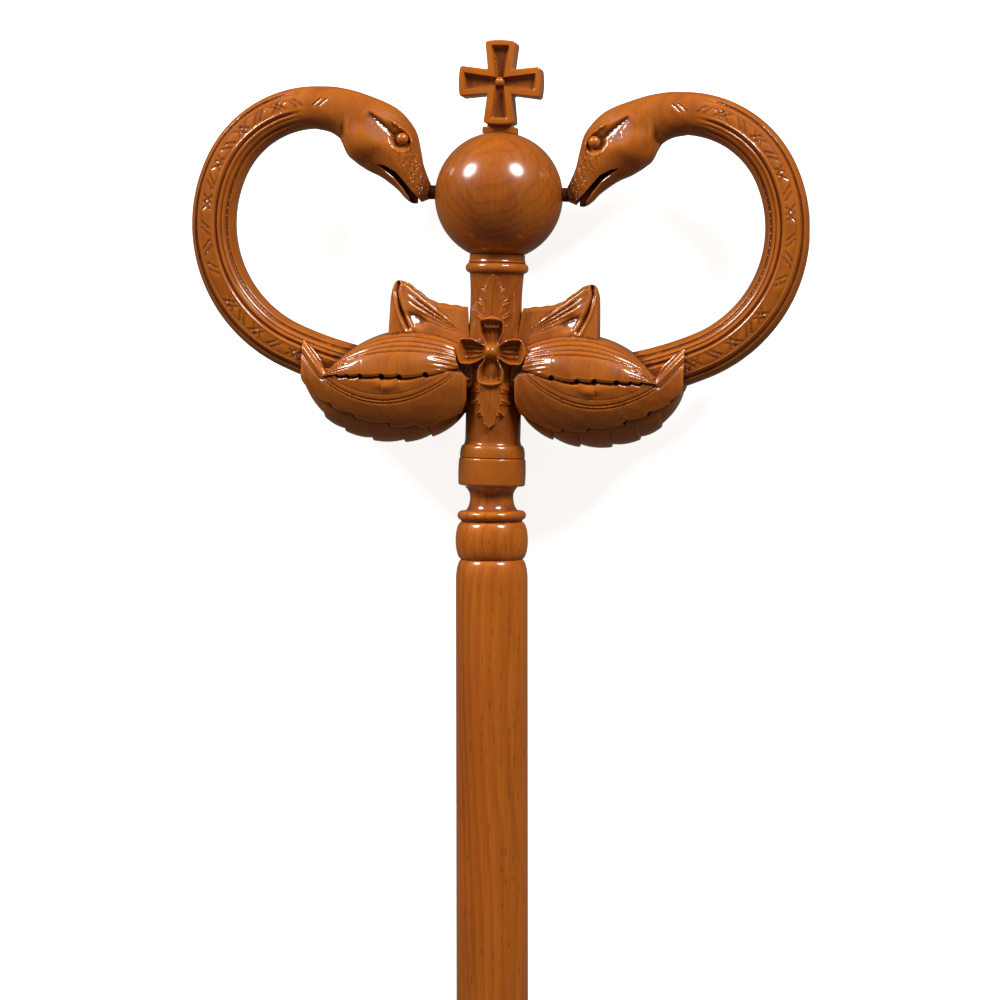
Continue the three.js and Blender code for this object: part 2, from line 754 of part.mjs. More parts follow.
// One serpent with its sheath, on the +X side or mirrored to the -X side.
function serpentSolid(side) {
  const whole = serpentBody().add(serpentHead()).add(leafSheath()).subtract(stemRoom());
  const placed = side > 0 ? whole : whole.mirror([1, 0, 0]);
  return placed.subtract(belowRest(headLean));
}

const head = new THREE.Group();
head.add(
  meshOf("head_stem", headStemSolid(), carvedWood),
  meshOf("orb", orbSolid(), orbWood),
  meshOf("cross", crossSolid(), carvedWood),
  meshOf("serpent_left", serpentSolid(-1), carvedWood),
  meshOf("serpent_right", serpentSolid(1), carvedWood),
);
head.rotation.z = -headLean;

const lying = new THREE.Group();
lying.add(meshOf("staff", staffSolid(), staffWood), head);
lying.rotation.x = restTilt;

// The origin is the middle of the underside of the whole crosier.
const crosier = new THREE.Group();
crosier.add(lying);
crosier.updateMatrixWorld(true);
const bounds = new THREE.Box3().setFromObject(crosier, true);
const middle = bounds.getCenter(new THREE.Vector3());
lying.position.set(-middle.x, -middle.y, -bounds.min.z);

export default crosier;
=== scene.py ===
"""Bishop's crosier of carved and lacquered beech, lying on its back on a pale floor."""

import math

import bpy
import numpy as np
from bpy.props import FloatProperty, FloatVectorProperty, PointerProperty
from bpy.types import Operator, Panel, PropertyGroup
from mathutils import Matrix, Vector


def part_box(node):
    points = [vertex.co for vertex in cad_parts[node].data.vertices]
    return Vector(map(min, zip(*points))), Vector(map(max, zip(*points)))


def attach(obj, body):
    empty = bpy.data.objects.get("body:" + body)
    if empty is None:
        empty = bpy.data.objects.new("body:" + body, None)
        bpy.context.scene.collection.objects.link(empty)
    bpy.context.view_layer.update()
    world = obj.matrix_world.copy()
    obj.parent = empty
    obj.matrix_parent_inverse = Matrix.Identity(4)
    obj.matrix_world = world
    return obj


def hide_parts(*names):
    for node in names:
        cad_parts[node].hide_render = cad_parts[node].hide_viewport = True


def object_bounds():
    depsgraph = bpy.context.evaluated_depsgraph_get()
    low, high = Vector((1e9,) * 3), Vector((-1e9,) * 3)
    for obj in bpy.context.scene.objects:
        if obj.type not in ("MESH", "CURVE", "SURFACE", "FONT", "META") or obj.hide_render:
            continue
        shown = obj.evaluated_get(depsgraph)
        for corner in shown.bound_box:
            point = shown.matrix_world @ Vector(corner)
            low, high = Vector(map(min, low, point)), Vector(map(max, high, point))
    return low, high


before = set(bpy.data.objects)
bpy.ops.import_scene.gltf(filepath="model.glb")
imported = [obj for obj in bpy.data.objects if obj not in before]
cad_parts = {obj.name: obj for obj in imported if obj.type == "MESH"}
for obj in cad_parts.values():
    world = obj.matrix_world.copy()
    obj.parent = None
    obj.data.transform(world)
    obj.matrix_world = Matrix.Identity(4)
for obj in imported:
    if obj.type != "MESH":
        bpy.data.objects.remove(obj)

bl_info = {
    "name": "Bishop's crosier",
    "version": (1, 0, 0),
    "blender": (4, 5, 0),
    "location": "View3D > Sidebar > Crosier",
    "description": "Carves the fine surfaces of a wooden crosier and sets up its picture",
    "category": "Add Mesh",
}

CAD_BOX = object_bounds()
DEGREE = math.pi / 180
CREASE = 38 * DEGREE

# Sizes in millimetres along the head's axes: X across, Y up the staff, Z to the front
STAFF_LENGTH = 1315.8
STAFF_RADIUS = 15.0
FOOT_ROUNDING = 3.0
HEAD_LEAN = 1.5 * DEGREE
SEAT_GAP = 0.3
REST_DEPTH_HEAD = 27.6
REST_DEPTH_FOOT = 14.75
REST_HEIGHT = 46.0
REST_TILT = math.atan((REST_DEPTH_HEAD - REST_DEPTH_FOOT) / (STAFF_LENGTH + REST_HEIGHT))
STEM_RADIUS = 11.5
STEM_WAIST_RADIUS = 10.7
STEM_WAIST_HEIGHT = 76.4
CUP_RADIUS = 13.9
CUP_HEIGHT = 10.4
CUP_SHOULDER = 8.8
NECK_RING_HEIGHT = 90.4
NECK_RING_RADIUS = 13.1
NECK_RING_HALF = 2.0
ORB_RADIUS = 26.6
ORB_HEIGHT = 120.2
FLOWER_HEIGHT = 55.7
PETAL_REACH = 14.4
PETAL_START = 1.2
PETAL_HALF_WIDTH = 5.7
PETAL_BACK = 9.5
PETAL_DEPTH = 5.6
BUD_RADIUS = 2.8
UPPER_LEAF = {"root": 10.0, "length": 22.0, "half": 8.0, "way": 1}
LOWER_LEAF = {"root": 12.0, "length": 19.5, "half": 9.2, "way": -1}
STEM_LEAF_THICKNESS = 1.9
CROSS_HEIGHT = 167.0
CROSS_REACHES = (17.1, 17.2, 17.1, 17.6)
CROSS_THICKNESS = 15.0
ARM_HALF_WIDTH = 5.1
ARM_FLARE = 1.2
ARM_BULGE = 0.35
ARM_ROUNDING = 1.3
PANEL_MIDDLE = 1.9
PANEL_END = 3.7
PANEL_ROUNDING = 0.5
CROSS_RIM = 2.1
CROSS_RECESS = 2.5
CROSS_BALL_RADIUS = 2.0
PAD_THICKNESS = 9.0
PAD_FLARE = 0.8
PAD_GROOVE = 0.7
PAD_SUNK = 3.0

# Serpents
NECK = (77.8, 155.6, -1.6 * DEGREE)
BODY_ARCS = ((42.0, 63.7 * DEGREE), (56.1, 91 * DEGREE), (150.0, 23.5 * DEGREE))
BODY_LENGTH = 176.0
BODY_SEEN = 152.0
BODY_HALF_NECK = 8.9
BODY_HALF_ROOT = 9.8
BODY_HALF_DEPTH = 9.3
GROOVE_FADE = 18.0
BAND_MARKS = (
    (-3, "right"),
    (7, "left"),
    (14, "crossed"),
    (23, "right"),
    (31, "crossed"),
    (39.5, "left"),
    (47.5, "crossed"),
    (56, "right"),
    (64, "crossed"),
    (74.5, "right"),
    (82, "left"),
    (91, "right"),
    (107, "crossed"),
    (114, "left"),
    (122, "crossed"),
    (131, "right"),
    (140, "crossed"),
    (148, "right"),
)
HEAD_SECTIONS = (
    (78.05, 164.5, 77.55, 146.7, 9.3),
    (70, 164.4, 71, 145.2, 9.3),
    (61.5, 162.9, 66, 141.4, 9.9),
    (54, 160.5, 62.6, 135, 10.6),
    (48, 158.2, 56, 130.2, 10.8),
    (42.6, 155.2, 50, 127.4, 10.2),
    (38, 150.6, 45.5, 124.4, 9.1),
    (34.9, 145.7, 42, 121.6, 7.9),
    (33.2, 139, 39.4, 118.8, 6.7),
    (32, 133, 36.6, 116.8, 5.8),
    (30.4, 128.6, 34, 116.6, 5),
    (28.6, 124.4, 29.6, 118.2, 3.6),
)
CHEEK = {"x": 55.4, "y": 143.0, "z": 2.4, "ax": 11.4, "ay": 10.6, "az": 9.6}
EYE = (39.9, 142.8, 7.3)
EYE_RADIUS = 2.5
EYE_PROUD = 0.3
HINGE = (45.0, 146.0)
HINGE_CREASE = 18.0
HINGE_FALL = (18.8, 20.6)
FACET_LEVEL = 8.9
FACET_SLOPE = 0.45
RIDGE = ((54, 153.2), (45.1, 144.8))
BROW = ((46.5, 151.6), (42.7, 149), (39.4, 146.6), (37.2, 144.4), (36.1, 141.8), (37, 138))
LOWER_LID = ((45.2, 142.4), (43.2, 138.8), (39.5, 137))
MOUTH = (
    (50.2, 132.1),
    (47, 131.6),
    (42.4, 129.1),
    (39.1, 125.4),
    (35.9, 121.6),
    (32.6, 117.9),
    (31, 113),
    (35, 113),
    (37.1, 119.1),
    (39.7, 122.8),
    (43.1, 126.9),
    (47, 129.9),
)
PEG_RADIUS = 2.9
MOUTH_WEB = 1.6
MOUTH_WEB_TIP = 34.0
PEG_HEIGHT = 121.3
PEG_ROOT = 31.5

# Leaf sheaths
SHEATH_ROOT = 12.0
SHEATH_MIDDLE = 44.0
SHEATH_BOTTOM = {"x": 42.0, "y": 45.0, "ax": 37.6, "ay": 27.6}
LID_TOP = {"x": 34.0, "y": 22.2, "r": 42.0}
LID_TIP = 69.3
LEAF_TIP = 80.5
SHEATH_FRONT = 21.0
SHEATH_BACK = 24.6
SHEATH_MOUTH = 10.6
SHEATH_WIDE = 44.0
LID_PROUD = 2.2
LEAF_PROUD = 1.8
LEAF_SINK = 5.0
LID_THINNED = 1.2
LID_GAP = 1.3
UNDER_GAP = 1.7
CURL_TOP = (
    (10, 73.5),
    (18.5, 75),
    (26.4, 76.2),
    (32.7, 80.7),
    (39.9, 84.4),
    (43.1, 80.5),
    (43.6, 70),
)
CURL_FOOT = 40.0
CURL_SLIT = ((40.4, 83.1), (40.8, 80.1), (40.1, 76.6), (39, 72.6), (37.3, 68.7), (35.2, 64.7))
CURL_STREAKS = ((21, 1.6, 0.3), (25.5, 1.7, 0.4), (30, 1.2, 0.65), (34, 1.2, 0.65), (39, 1.8, 0.3))
CURL_FRONT = 9.0
CURL_BACK = -5.0
STEM_RELIEF_TOP = 41.0
STEM_RELIEF_BOTTOM = 24.0
STEM_RELIEF_WIDTH = 3.4
STEM_RELIEF_BACK = -6.0
LID_NOTCHES = (16, 25.9, 36.7, 43.9, 52.9, 58.4, 63)
LOWER_NOTCHES = (19.4, 30.4, 41.4, 56.5, 66.1, 75)
UNDER_NOTCHES = (14, 25.4, 36.4, 50, 61.4, 70.5)
LID_DRILLS = (1.25, 1.2, 1.3, 1.15, 0.75, 0.7)
LOWER_DRILLS = (0.8, 0.95, 0.95, 0.95, 0.7)

# Lights: name, direction from the orb, and power in watts
SOFTBOXES = (
    ("Left softbox", (-0.666, 0.6245, 0.4055), 14.5),
    ("Right softbox", (0.541, 0.682, 0.503), 16.5),
)
SOFTBOX_WIDTH = 0.46
SOFTBOX_DISTANCE = 1.2
SEEN_MIDDLE = (0.0035, -0.00605, 0)
FLOOR_REACH = 9.0


class CrosierCarving(PropertyGroup):
    """How deep the knife went."""

    groove: FloatProperty(
        name="Body grooves",
        description="Depth of the grooves along the serpents",
        default=0.0010,
        unit="LENGTH",
    )
    mark: FloatProperty(
        name="Incised marks",
        description="Depth of the strokes on the serpents' band",
        default=0.00055,
        unit="LENGTH",
    )
    vein: FloatProperty(
        name="Leaf veins",
        description="Depth of the curved grooves on the leaves",
        default=0.00045,
        unit="LENGTH",
    )
    tooth: FloatProperty(
        name="Leaf teeth",
        description="How far each tooth along the sheaths' lower edges stands out",
        default=0.0013,
        unit="LENGTH",
    )


class CrosierColours(PropertyGroup):
    """Colours of the lacquered beech."""

    light: FloatVectorProperty(
        name="Light wood",
        description="Early wood under the lacquer",
        subtype="COLOR",
        size=3,
        default=(0.58, 0.156, 0.010),
    )
    deep: FloatVectorProperty(
        name="Deep wood",
        description="Late wood and streaks",
        subtype="COLOR",
        size=3,
        default=(0.33, 0.058, 0.002),
    )
    # Recess colour: lacquer gathered in the cuts, and painted shade in the cuts, holes and gaps
    recess: FloatVectorProperty(
        name="Recesses",
        description="Lacquer gathered in the cuts, and painted shade",
        subtype="COLOR",
        size=3,
        default=(0.055, 0.0060, 0.0006),
    )
    fleck: FloatVectorProperty(
        name="Ray flecks",
        description="Short dark rays of the beech",
        subtype="COLOR",
        size=3,
        default=(0.13, 0.018, 0.0015),
    )


class CrosierPicture(PropertyGroup):
    """Where the picture is taken from."""

    distance: FloatProperty(
        name="Camera distance",
        description="From the lens to the staff's axis",
        default=1.4,
        unit="LENGTH",
    )
    view_width: FloatProperty(
        name="View width",
        description="Width of the picture at the staff's axis",
        default=0.41667,
        unit="LENGTH",
    )
    yaw: FloatProperty(
        name="Camera yaw",
        description="How far the camera stands to the right of straight above",
        default=7.0 * DEGREE,
        subtype="ANGLE",
    )
    pitch: FloatProperty(
        name="Camera pitch",
        description="How far the camera stands towards the cross",
        default=1.9 * DEGREE,
        subtype="ANGLE",
    )


def carving():
    return bpy.context.scene.crosier_carving


def colours():
    return bpy.context.scene.crosier_colours


# Placing: millimetres of the head or the staff to metres of the frame


def staff_origin():
    """Where the head meets the staff's axis, read from the staff's solid."""
    low, high = (Vector(corner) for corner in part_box("staff"))
    foot_rim = STAFF_RADIUS - FOOT_ROUNDING
    along = STAFF_LENGTH * math.cos(REST_TILT) + foot_rim * math.sin(REST_TILT)
    height = REST_DEPTH_HEAD * math.cos(REST_TILT) - REST_HEIGHT * math.sin(REST_TILT)
    return Vector(((low.x + high.x) / 2, low.y + along / 1000, height / 1000))


def placing(lean):
    """The matrix from millimetres of a leaning piece to metres of the frame."""
    turn = Matrix.Rotation(REST_TILT, 4, "X") @ Matrix.Rotation(-lean, 4, "Z")
    return Matrix.Translation(staff_origin()) @ turn @ Matrix.Scale(0.001, 4)


def smooth(low, high, value):
    """0 below low, 1 above high, and a smooth step between."""
    share = np.clip((np.asarray(value, float) - low) / (high - low), 0, 1)
    return share * share * (3 - 2 * share)


def groove(distance, half_width):
    """1 in the middle of a groove, falling smoothly to 0 at its sides."""
    share = np.clip(np.abs(distance) / half_width, 0, 1)
    return (1 - share * share) ** 2


def to_segment(x, y, a, b):
    """The distance of points from a line between a and b, and how far along it they lie."""
    ax, ay, bx, by = a[0], a[1], b[0], b[1]
    length = (bx - ax) ** 2 + (by - ay) ** 2
    share = np.clip(((x - ax) * (bx - ax) + (y - ay) * (by - ay)) / length, 0, 1)
    return np.hypot(x - ax - share * (bx - ax), y - ay - share * (by - ay)), share


def to_path(x, y, points):
    """The distance of points from a chain of segments, and how far along the chain they lie."""
    best = np.full(np.shape(x), 1e9)
    along = np.zeros(np.shape(x))
    for i in range(len(points) - 1):
        away, share = to_segment(x, y, points[i], points[i + 1])
        along = np.where(away < best, (i + share) / (len(points) - 1), along)
        best = np.minimum(best, away)
    return best, along


def inside(x, y, outline):
    """Whether points lie inside a closed outline."""
    within = np.zeros(np.shape(x), bool)
    for (ax, ay), (bx, by) in zip(outline, (*outline[1:], outline[0])):
        if ay != by:
            within ^= ((ay > y) != (by > y)) & (x < ax + (bx - ax) * (y - ay) / (by - ay))
    return within


def through(points, count):
    """Points of a smooth curve through a few given ones."""
    p = np.asarray(points, float)
    p = np.vstack([2 * p[0] - p[1], p, 2 * p[-1] - p[-2]])
    spans = len(p) - 3
    t = np.linspace(0, spans - 1e-9, count)
    i = t.astype(int)
    f = (t - i)[:, None]
    a, b, c, d = p[i], p[i + 1], p[i + 2], p[i + 3]
    return 0.5 * (
        2 * b + (c - a) * f + (2 * a - 5 * b + 4 * c - d) * f**2 + (3 * b - a - 3 * c + d) * f**3
    )


# Meshes


def shaped(name, points, faces):
    """A new object from points and faces."""
    mesh = bpy.data.meshes.new(name)
    mesh.from_pydata(np.asarray(points, float).tolist(), [], faces)
    mesh.update()
    made = bpy.data.objects.new(name, mesh)
    bpy.context.scene.collection.objects.link(made)
    return made


def skinned(name, rings):
    """A closed mesh over closed rings of points, its ends gathered to a point."""
    rings = np.asarray(rings, float)
    count, size = rings.shape[:2]
    points = np.vstack([rings.reshape(-1, 3), rings[0].mean(0), rings[-1].mean(0)])
    faces = []
    for i in range(count - 1):
        for j in range(size):
            k = (j + 1) % size
            faces.append((i * size + j, i * size + k, (i + 1) * size + k, (i + 1) * size + j))
    first, last = count * size, count * size + 1
    for j in range(size):
        k = (j + 1) % size
        faces.append((first, k, j))
        faces.append((last, (count - 1) * size + j, (count - 1) * size + k))
    made = shaped(name, points, faces)
    turn_outwards(made)
    return made


def turn_outwards(piece):
    """Turns the faces over if the mesh encloses a negative volume."""
    mesh = piece.data
    mesh.calc_loop_triangles()
    corners = np.empty(len(mesh.loop_triangles) * 3, int)
    mesh.loop_triangles.foreach_get("vertices", corners)
    points = np.empty(len(mesh.vertices) * 3)
    mesh.vertices.foreach_get("co", points)
    a, b, c = points.reshape(-1, 3)[corners.reshape(-1, 3)].transpose(1, 0, 2)
    if np.einsum("ij,ij->i", a, np.cross(b, c)).sum() < 0:
        mesh.flip_normals()


def turned(name, profile, sides=144):
    """A solid turned about Y from [radius, height] points, its ends closed."""
    angles = np.arange(sides) * 2 * math.pi / sides
    rings = [
        np.column_stack([r * np.sin(angles), np.full(sides, h), r * np.cos(angles)])
        for r, h in profile
    ]
    return skinned(name, rings)


def ball(name, centre, radii, sides=40):
    """An ellipsoid whose poles lie along Z."""
    rows = sides // 2
    angles = np.arange(sides) * 2 * math.pi / sides
    rings = []
    for i in range(1, rows):
        slope = math.pi * i / rows
        ring = np.column_stack(
            [
                np.cos(angles) * math.sin(slope),
                np.sin(angles) * math.sin(slope),
                np.full(sides, math.cos(slope)),
            ]
        )
        rings.append(ring)
    return skinned(name, np.asarray(rings) * np.asarray(radii) + np.asarray(centre))


def prism(name, outline, low, high, top=None):
    """A flat outline drawn up along Z, to a second outline where one is given."""
    count = len(outline)
    points = [(x, y, low) for x, y in outline] + [(x, y, high) for x, y in top or outline]
    faces = [(i, (i + 1) % count, count + (i + 1) % count, count + i) for i in range(count)]
    faces += [tuple(range(count))[::-1], tuple(range(count, 2 * count))]
    made = shaped(name, points, faces)
    turn_outwards(made)
    return made


def together(name, pieces):
    """Several closed meshes that lie apart, as one."""
    points, faces = [], []
    for piece in pieces:
        start = len(points)
        mesh = piece.data
        points += [tuple(vertex.co) for vertex in mesh.vertices]
        faces += [tuple(start + corner for corner in face.vertices) for face in mesh.polygons]
        bpy.data.objects.remove(piece)
        bpy.data.meshes.remove(mesh)
    return shaped(name, points, faces)


def cut_or_joined(base, others, operation):
    """Joins the other closed meshes to the base, or cuts them from it."""
    for other in others:
        step = base.modifiers.new(operation, "BOOLEAN")
        step.solver = "MANIFOLD"
        step.operation = operation
        step.object = other
        graph = bpy.context.evaluated_depsgraph_get()
        mesh = bpy.data.meshes.new_from_object(base.evaluated_get(graph))
        base.modifiers.clear()
        old = base.data
        base.data = mesh
        bpy.data.meshes.remove(old)
        gone = other.data
        bpy.data.objects.remove(other)
        bpy.data.meshes.remove(gone)
        if len(mesh.polygons) == 0:
            raise RuntimeError(base.name + " came out empty after " + operation)
    return base


def rectangle(left, low, right, high):
    """The corners of an upright rectangle."""
    return [(left, low), (right, low), (right, high), (left, high)]


def below_rest(lean):
    """Everything under the plane that the crosier lies on, seen from a leaning piece."""
    reach, depth = 3000.0, 200.0
    block = prism("below", rectangle(-reach, -reach, reach, reach), -depth, 0)
    turn = Matrix.Rotation(lean, 4, "Z") @ Matrix.Translation((0, REST_HEIGHT, -REST_DEPTH_HEAD))
    block.data.transform(turn @ Matrix.Rotation(-REST_TILT, 4, "X"))
    return block


def orb_room():
    """The room that the orb takes in the pieces that touch it."""
    radius = ORB_RADIUS + SEAT_GAP
    return ball("orb_room", (0, ORB_HEIGHT, 0), (radius,) * 3, 96)


def surface_marks(mesh, darkened, hollows):
    """Stores how hollow and how sharp each point of the surface is, and where shade is painted in
    as a dark patch.
    """
    count = len(mesh.vertices)
    points = np.empty(count * 3)
    mesh.vertices.foreach_get("co", points)
    points = points.reshape(-1, 3)
    normals = np.empty(count * 3)
    mesh.vertices.foreach_get("normal", normals)
    normals = normals.reshape(-1, 3)
    edges = np.empty(len(mesh.edges) * 2, int)
    mesh.edges.foreach_get("vertices", edges)
    a, b = edges.reshape(-1, 2).T
    degree = np.bincount(np.concatenate([a, b]), minlength=count).clip(1)[:, None]

    def averaged(values):
        total = np.zeros_like(values)
        for axis in range(values.shape[1]):
            total[:, axis] = np.bincount(a, values[b, axis], count) + np.bincount(
                b, values[a, axis], count
            )
        return total / degree

    eased = points.copy()
    hollow = np.zeros(count)
    weights = {6: 1.0, 18: 0.9, 48: 0.5}
    full_depth = 0.22
    for step in range(1, max(weights) + 1):
        eased = 0.4 * eased + 0.6 * averaged(eased)
        if step in weights:
            depth = np.einsum("ij,ij->i", eased - points, normals)
            hollow += weights[step] * depth / (full_depth * math.sqrt(step / min(weights)))
    spread = averaged(hollow[:, None])[:, 0]
    # Painted shade: dark patches laid where shade falls, as given by the darkened function
    painted_shade = np.zeros(count) if darkened is None else darkened(points)
    marks = {
        "hollow": hollows * np.clip(spread, 0, 1),
        "sharp": np.clip(-spread, 0, 1),
        "painted_shade": painted_shade,
    }
    for label, values in marks.items():
        layer = mesh.attributes.new(label, "FLOAT", "POINT")
        layer.data.foreach_set("value", values.astype(np.float32))


def finished(piece, node, material, lean, darkened=None, hollows=1.0):
    """Moves a carved piece from millimetres to its place and gives it its finish."""
    mesh = piece.data
    surface_marks(mesh, darkened, hollows)
    mesh.transform(placing(lean))
    points = np.empty(len(mesh.vertices) * 3)
    mesh.vertices.foreach_get("co", points)
    low, high = (np.array(corner) for corner in CAD_BOX)
    mesh.vertices.foreach_set("co", np.clip(points.reshape(-1, 3), low, high).ravel())
    mesh.update()
    mesh.polygons.foreach_set("use_smooth", [True] * len(mesh.polygons))
    bpy.context.view_layer.objects.active = piece
    piece.select_set(True)
    mesh.set_sharp_from_angle(angle=CREASE)
    piece.select_set(False)
    mesh.materials.clear()
    mesh.materials.append(material)
    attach(piece, "root")
    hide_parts(node)


# Shader node groups and materials


def group_with(name, inputs, outputs):
    """An empty node group with named inputs and outputs."""
    group = bpy.data.node_groups.new(name, "ShaderNodeTree")
    for label, kind, value in inputs:
        socket = group.interface.new_socket(name=label, in_out="INPUT", socket_type=kind)
        socket.default_value = value
    for label, kind in outputs:
        group.interface.new_socket(name=label, in_out="OUTPUT", socket_type=kind)
    return group, group.nodes.new("NodeGroupInput"), group.nodes.new("NodeGroupOutput")


def node(tree, kind, inputs=(), **settings):
    """A node with its settings, and its inputs given as values or as other sockets."""
    made = tree.nodes.new(kind)
    for key, value in settings.items():
        setattr(made, key, value)
    for key, value in dict(inputs).items():
        if isinstance(value, bpy.types.NodeSocket):
            tree.links.new(value, made.inputs[key])
        else:
            made.inputs[key].default_value = value
    return made


def maths(tree, operation, first, second=0.0, clamp=False):
    """One sum of two values."""
    return node(
        tree, "ShaderNodeMath", {0: first, 1: second}, operation=operation, use_clamp=clamp
    ).outputs[0]


def mixed(tree, share, first, second):
    """A colour between two colours."""
    made = node(tree, "ShaderNodeMix", {0: share, 6: first, 7: second}, data_type="RGBA")
    return made.outputs[2]


def ranged(tree, value, low, high, to_low=0.0, to_high=1.0):
    """A value carried smoothly from one range to another."""
    made = node(
        tree,
        "ShaderNodeMapRange",
        {0: value, 1: low, 2: high, 3: to_low, 4: to_high},
        interpolation_type="SMOOTHSTEP",
    )
    return made.outputs[0]


def beech_grain():
    """Growth rings, streaks and ray flecks of beech, the fibre running along Y."""
    name = "Beech grain"
    if name in bpy.data.node_groups:
        return bpy.data.node_groups[name]
    group, given, out = group_with(
        name,
        [
            ("Light", "NodeSocketColor", (0.5, 0.2, 0.05, 1)),
            ("Deep", "NodeSocketColor", (0.3, 0.1, 0.02, 1)),
            ("Fleck", "NodeSocketColor", (0.2, 0.05, 0.01, 1)),
            ("Ring Direction", "NodeSocketVector", (0.3, 0.1, 1)),
            ("Ring Width", "NodeSocketFloat", 0.003),
            ("Ring Contrast", "NodeSocketFloat", 0.4),
            ("Line Sharpness", "NodeSocketFloat", 1.0),
            ("Streaks", "NodeSocketFloat", 1.0),
            ("Flecks", "NodeSocketFloat", 0.5),
        ],
        [("Color", "NodeSocketColor"), ("Height", "NodeSocketFloat")],
    )
    place = node(group, "ShaderNodeTexCoord").outputs["Object"]
    along = node(group, "ShaderNodeMapping", {"Vector": place, "Scale": (1, 0.12, 1)}).outputs[0]
    wander = node(
        group, "ShaderNodeTexNoise", {"Vector": along, "Scale": 28, "Detail": 3, "Roughness": 0.5}
    )
    depth = node(
        group,
        "ShaderNodeVectorMath",
        {0: place, 1: given.outputs["Ring Direction"]},
        operation="DOT_PRODUCT",
    ).outputs["Value"]
    sway = maths(group, "MULTIPLY", maths(group, "SUBTRACT", wander.outputs[0], 0.5), 0.022)
    rings = maths(
        group, "DIVIDE", maths(group, "ADD", depth, sway), given.outputs["Ring Width"]
    )
    phase = maths(group, "FRACT", rings)
    rise = ranged(group, phase, 0.15, 0.85)
    fall = ranged(group, phase, 0.88, 1.0, 1.0, 0.0)
    ring = maths(group, "MULTIPLY", rise, fall)
    ring = maths(group, "POWER", ring, given.outputs["Line Sharpness"])
    ring_tone = maths(group, "MULTIPLY", ring, given.outputs["Ring Contrast"])
    fine = node(group, "ShaderNodeMapping", {"Vector": place, "Scale": (1, 0.035, 1)}).outputs[0]
    streak = node(
        group, "ShaderNodeTexNoise", {"Vector": fine, "Scale": 950, "Detail": 3, "Roughness": 0.62}
    ).outputs[0]
    broad = node(
        group, "ShaderNodeTexNoise", {"Vector": along, "Scale": 60, "Detail": 2, "Roughness": 0.5}
    ).outputs[0]
    streaks = maths(group, "MULTIPLY", ranged(group, streak, 0.3, 0.72), given.outputs["Streaks"])
    tone = maths(group, "ADD", ring_tone, maths(group, "MULTIPLY", streaks, 0.30))
    broad_tone = maths(group, "MULTIPLY", ranged(group, broad, 0.3, 0.75), 0.42)
    tone = maths(group, "ADD", tone, broad_tone, True)
    wood = mixed(group, tone, given.outputs["Light"], given.outputs["Deep"])
    short = node(group, "ShaderNodeMapping", {"Vector": place, "Scale": (1, 0.22, 1)}).outputs[0]
    rays = node(
        group,
        "ShaderNodeTexVoronoi",
        {"Vector": short, "Scale": 620, "Randomness": 1.0},
        feature="F1",
    )
    chance = node(group, "ShaderNodeSeparateColor", {0: rays.outputs["Color"]}).outputs[0]
    present = ranged(group, chance, 0.55, 0.7)
    spot = ranged(group, rays.outputs["Distance"], 0.16, 0.36, 1.0, 0.0)
    ray = maths(group, "MULTIPLY", maths(group, "MULTIPLY", spot, present), given.outputs["Flecks"])
    coloured = mixed(group, ray, wood, given.outputs["Fleck"])
    group.links.new(coloured, out.inputs["Color"])
    lift = maths(group, "MULTIPLY", maths(group, "SUBTRACT", streak, ray), 0.5)
    group.links.new(lift, out.inputs["Height"])
    return group


def lacquer_and_painted_light():
    """Darkens the hollows for lacquer gathered there and as painted shade, paints shade over the
    shade patches, and pales the sharp edges for wear and a painted highlight.
    """
    name = "Lacquer in cuts"
    if name in bpy.data.node_groups:
        return bpy.data.node_groups[name]
    group, given, out = group_with(
        name,
        [
            ("Color", "NodeSocketColor", (0.5, 0.2, 0.05, 1)),
            ("Recess", "NodeSocketColor", (0.1, 0.02, 0.01, 1)),
            ("Worn And Highlit", "NodeSocketColor", (0.7, 0.3, 0.1, 1)),
            ("Lacquer And Shade", "NodeSocketFloat", 0.8),
            ("Wear And Highlight", "NodeSocketFloat", 0.4),
        ],
        [
            ("Color", "NodeSocketColor"),
            ("Recess Mask", "NodeSocketFloat"),
            ("Painted Shade Mask", "NodeSocketFloat"),
        ],
    )
    hollow = node(group, "ShaderNodeAttribute", attribute_name="hollow").outputs["Fac"]
    sharp = node(group, "ShaderNodeAttribute", attribute_name="sharp").outputs["Fac"]
    place = node(group, "ShaderNodeTexCoord").outputs["Object"]
    patch = node(group, "ShaderNodeTexNoise", {"Vector": place, "Scale": 420, "Detail": 3})
    uneven = ranged(group, patch.outputs[0], 0.25, 0.7, 0.65, 1.0)
    # Hollows darken, partly for lacquer gathered in the cuts and partly as painted shade
    lacquer_and_shade = maths(group, "MULTIPLY", ranged(group, hollow, 0.2, 0.95), uneven)
    painted_shade = node(group, "ShaderNodeAttribute", attribute_name="painted_shade").outputs["Fac"]
    mask = maths(group, "MULTIPLY", lacquer_and_shade, given.outputs["Lacquer And Shade"], True)
    # Painted shade: the shade patches darken fully
    mask = maths(group, "MAXIMUM", mask, painted_shade, True)
    # Wear and painted highlight: sharp edges are paled towards a lighter colour
    worn_and_highlit = maths(group, "MULTIPLY", ranged(group, sharp, 0.15, 0.8), given.outputs["Wear And Highlight"], True)
    paled = mixed(group, worn_and_highlit, given.outputs["Color"], given.outputs["Worn And Highlit"])
    group.links.new(mixed(group, mask, paled, given.outputs["Recess"]), out.inputs["Color"])
    group.links.new(mask, out.inputs["Recess Mask"])
    group.links.new(painted_shade, out.inputs["Painted Shade Mask"])
    return group


def rgba(colour, factor=1.0):
    """A colour made lighter or darker, for a colour socket."""
    return (*(min(1.0, channel * factor) for channel in colour), 1.0)


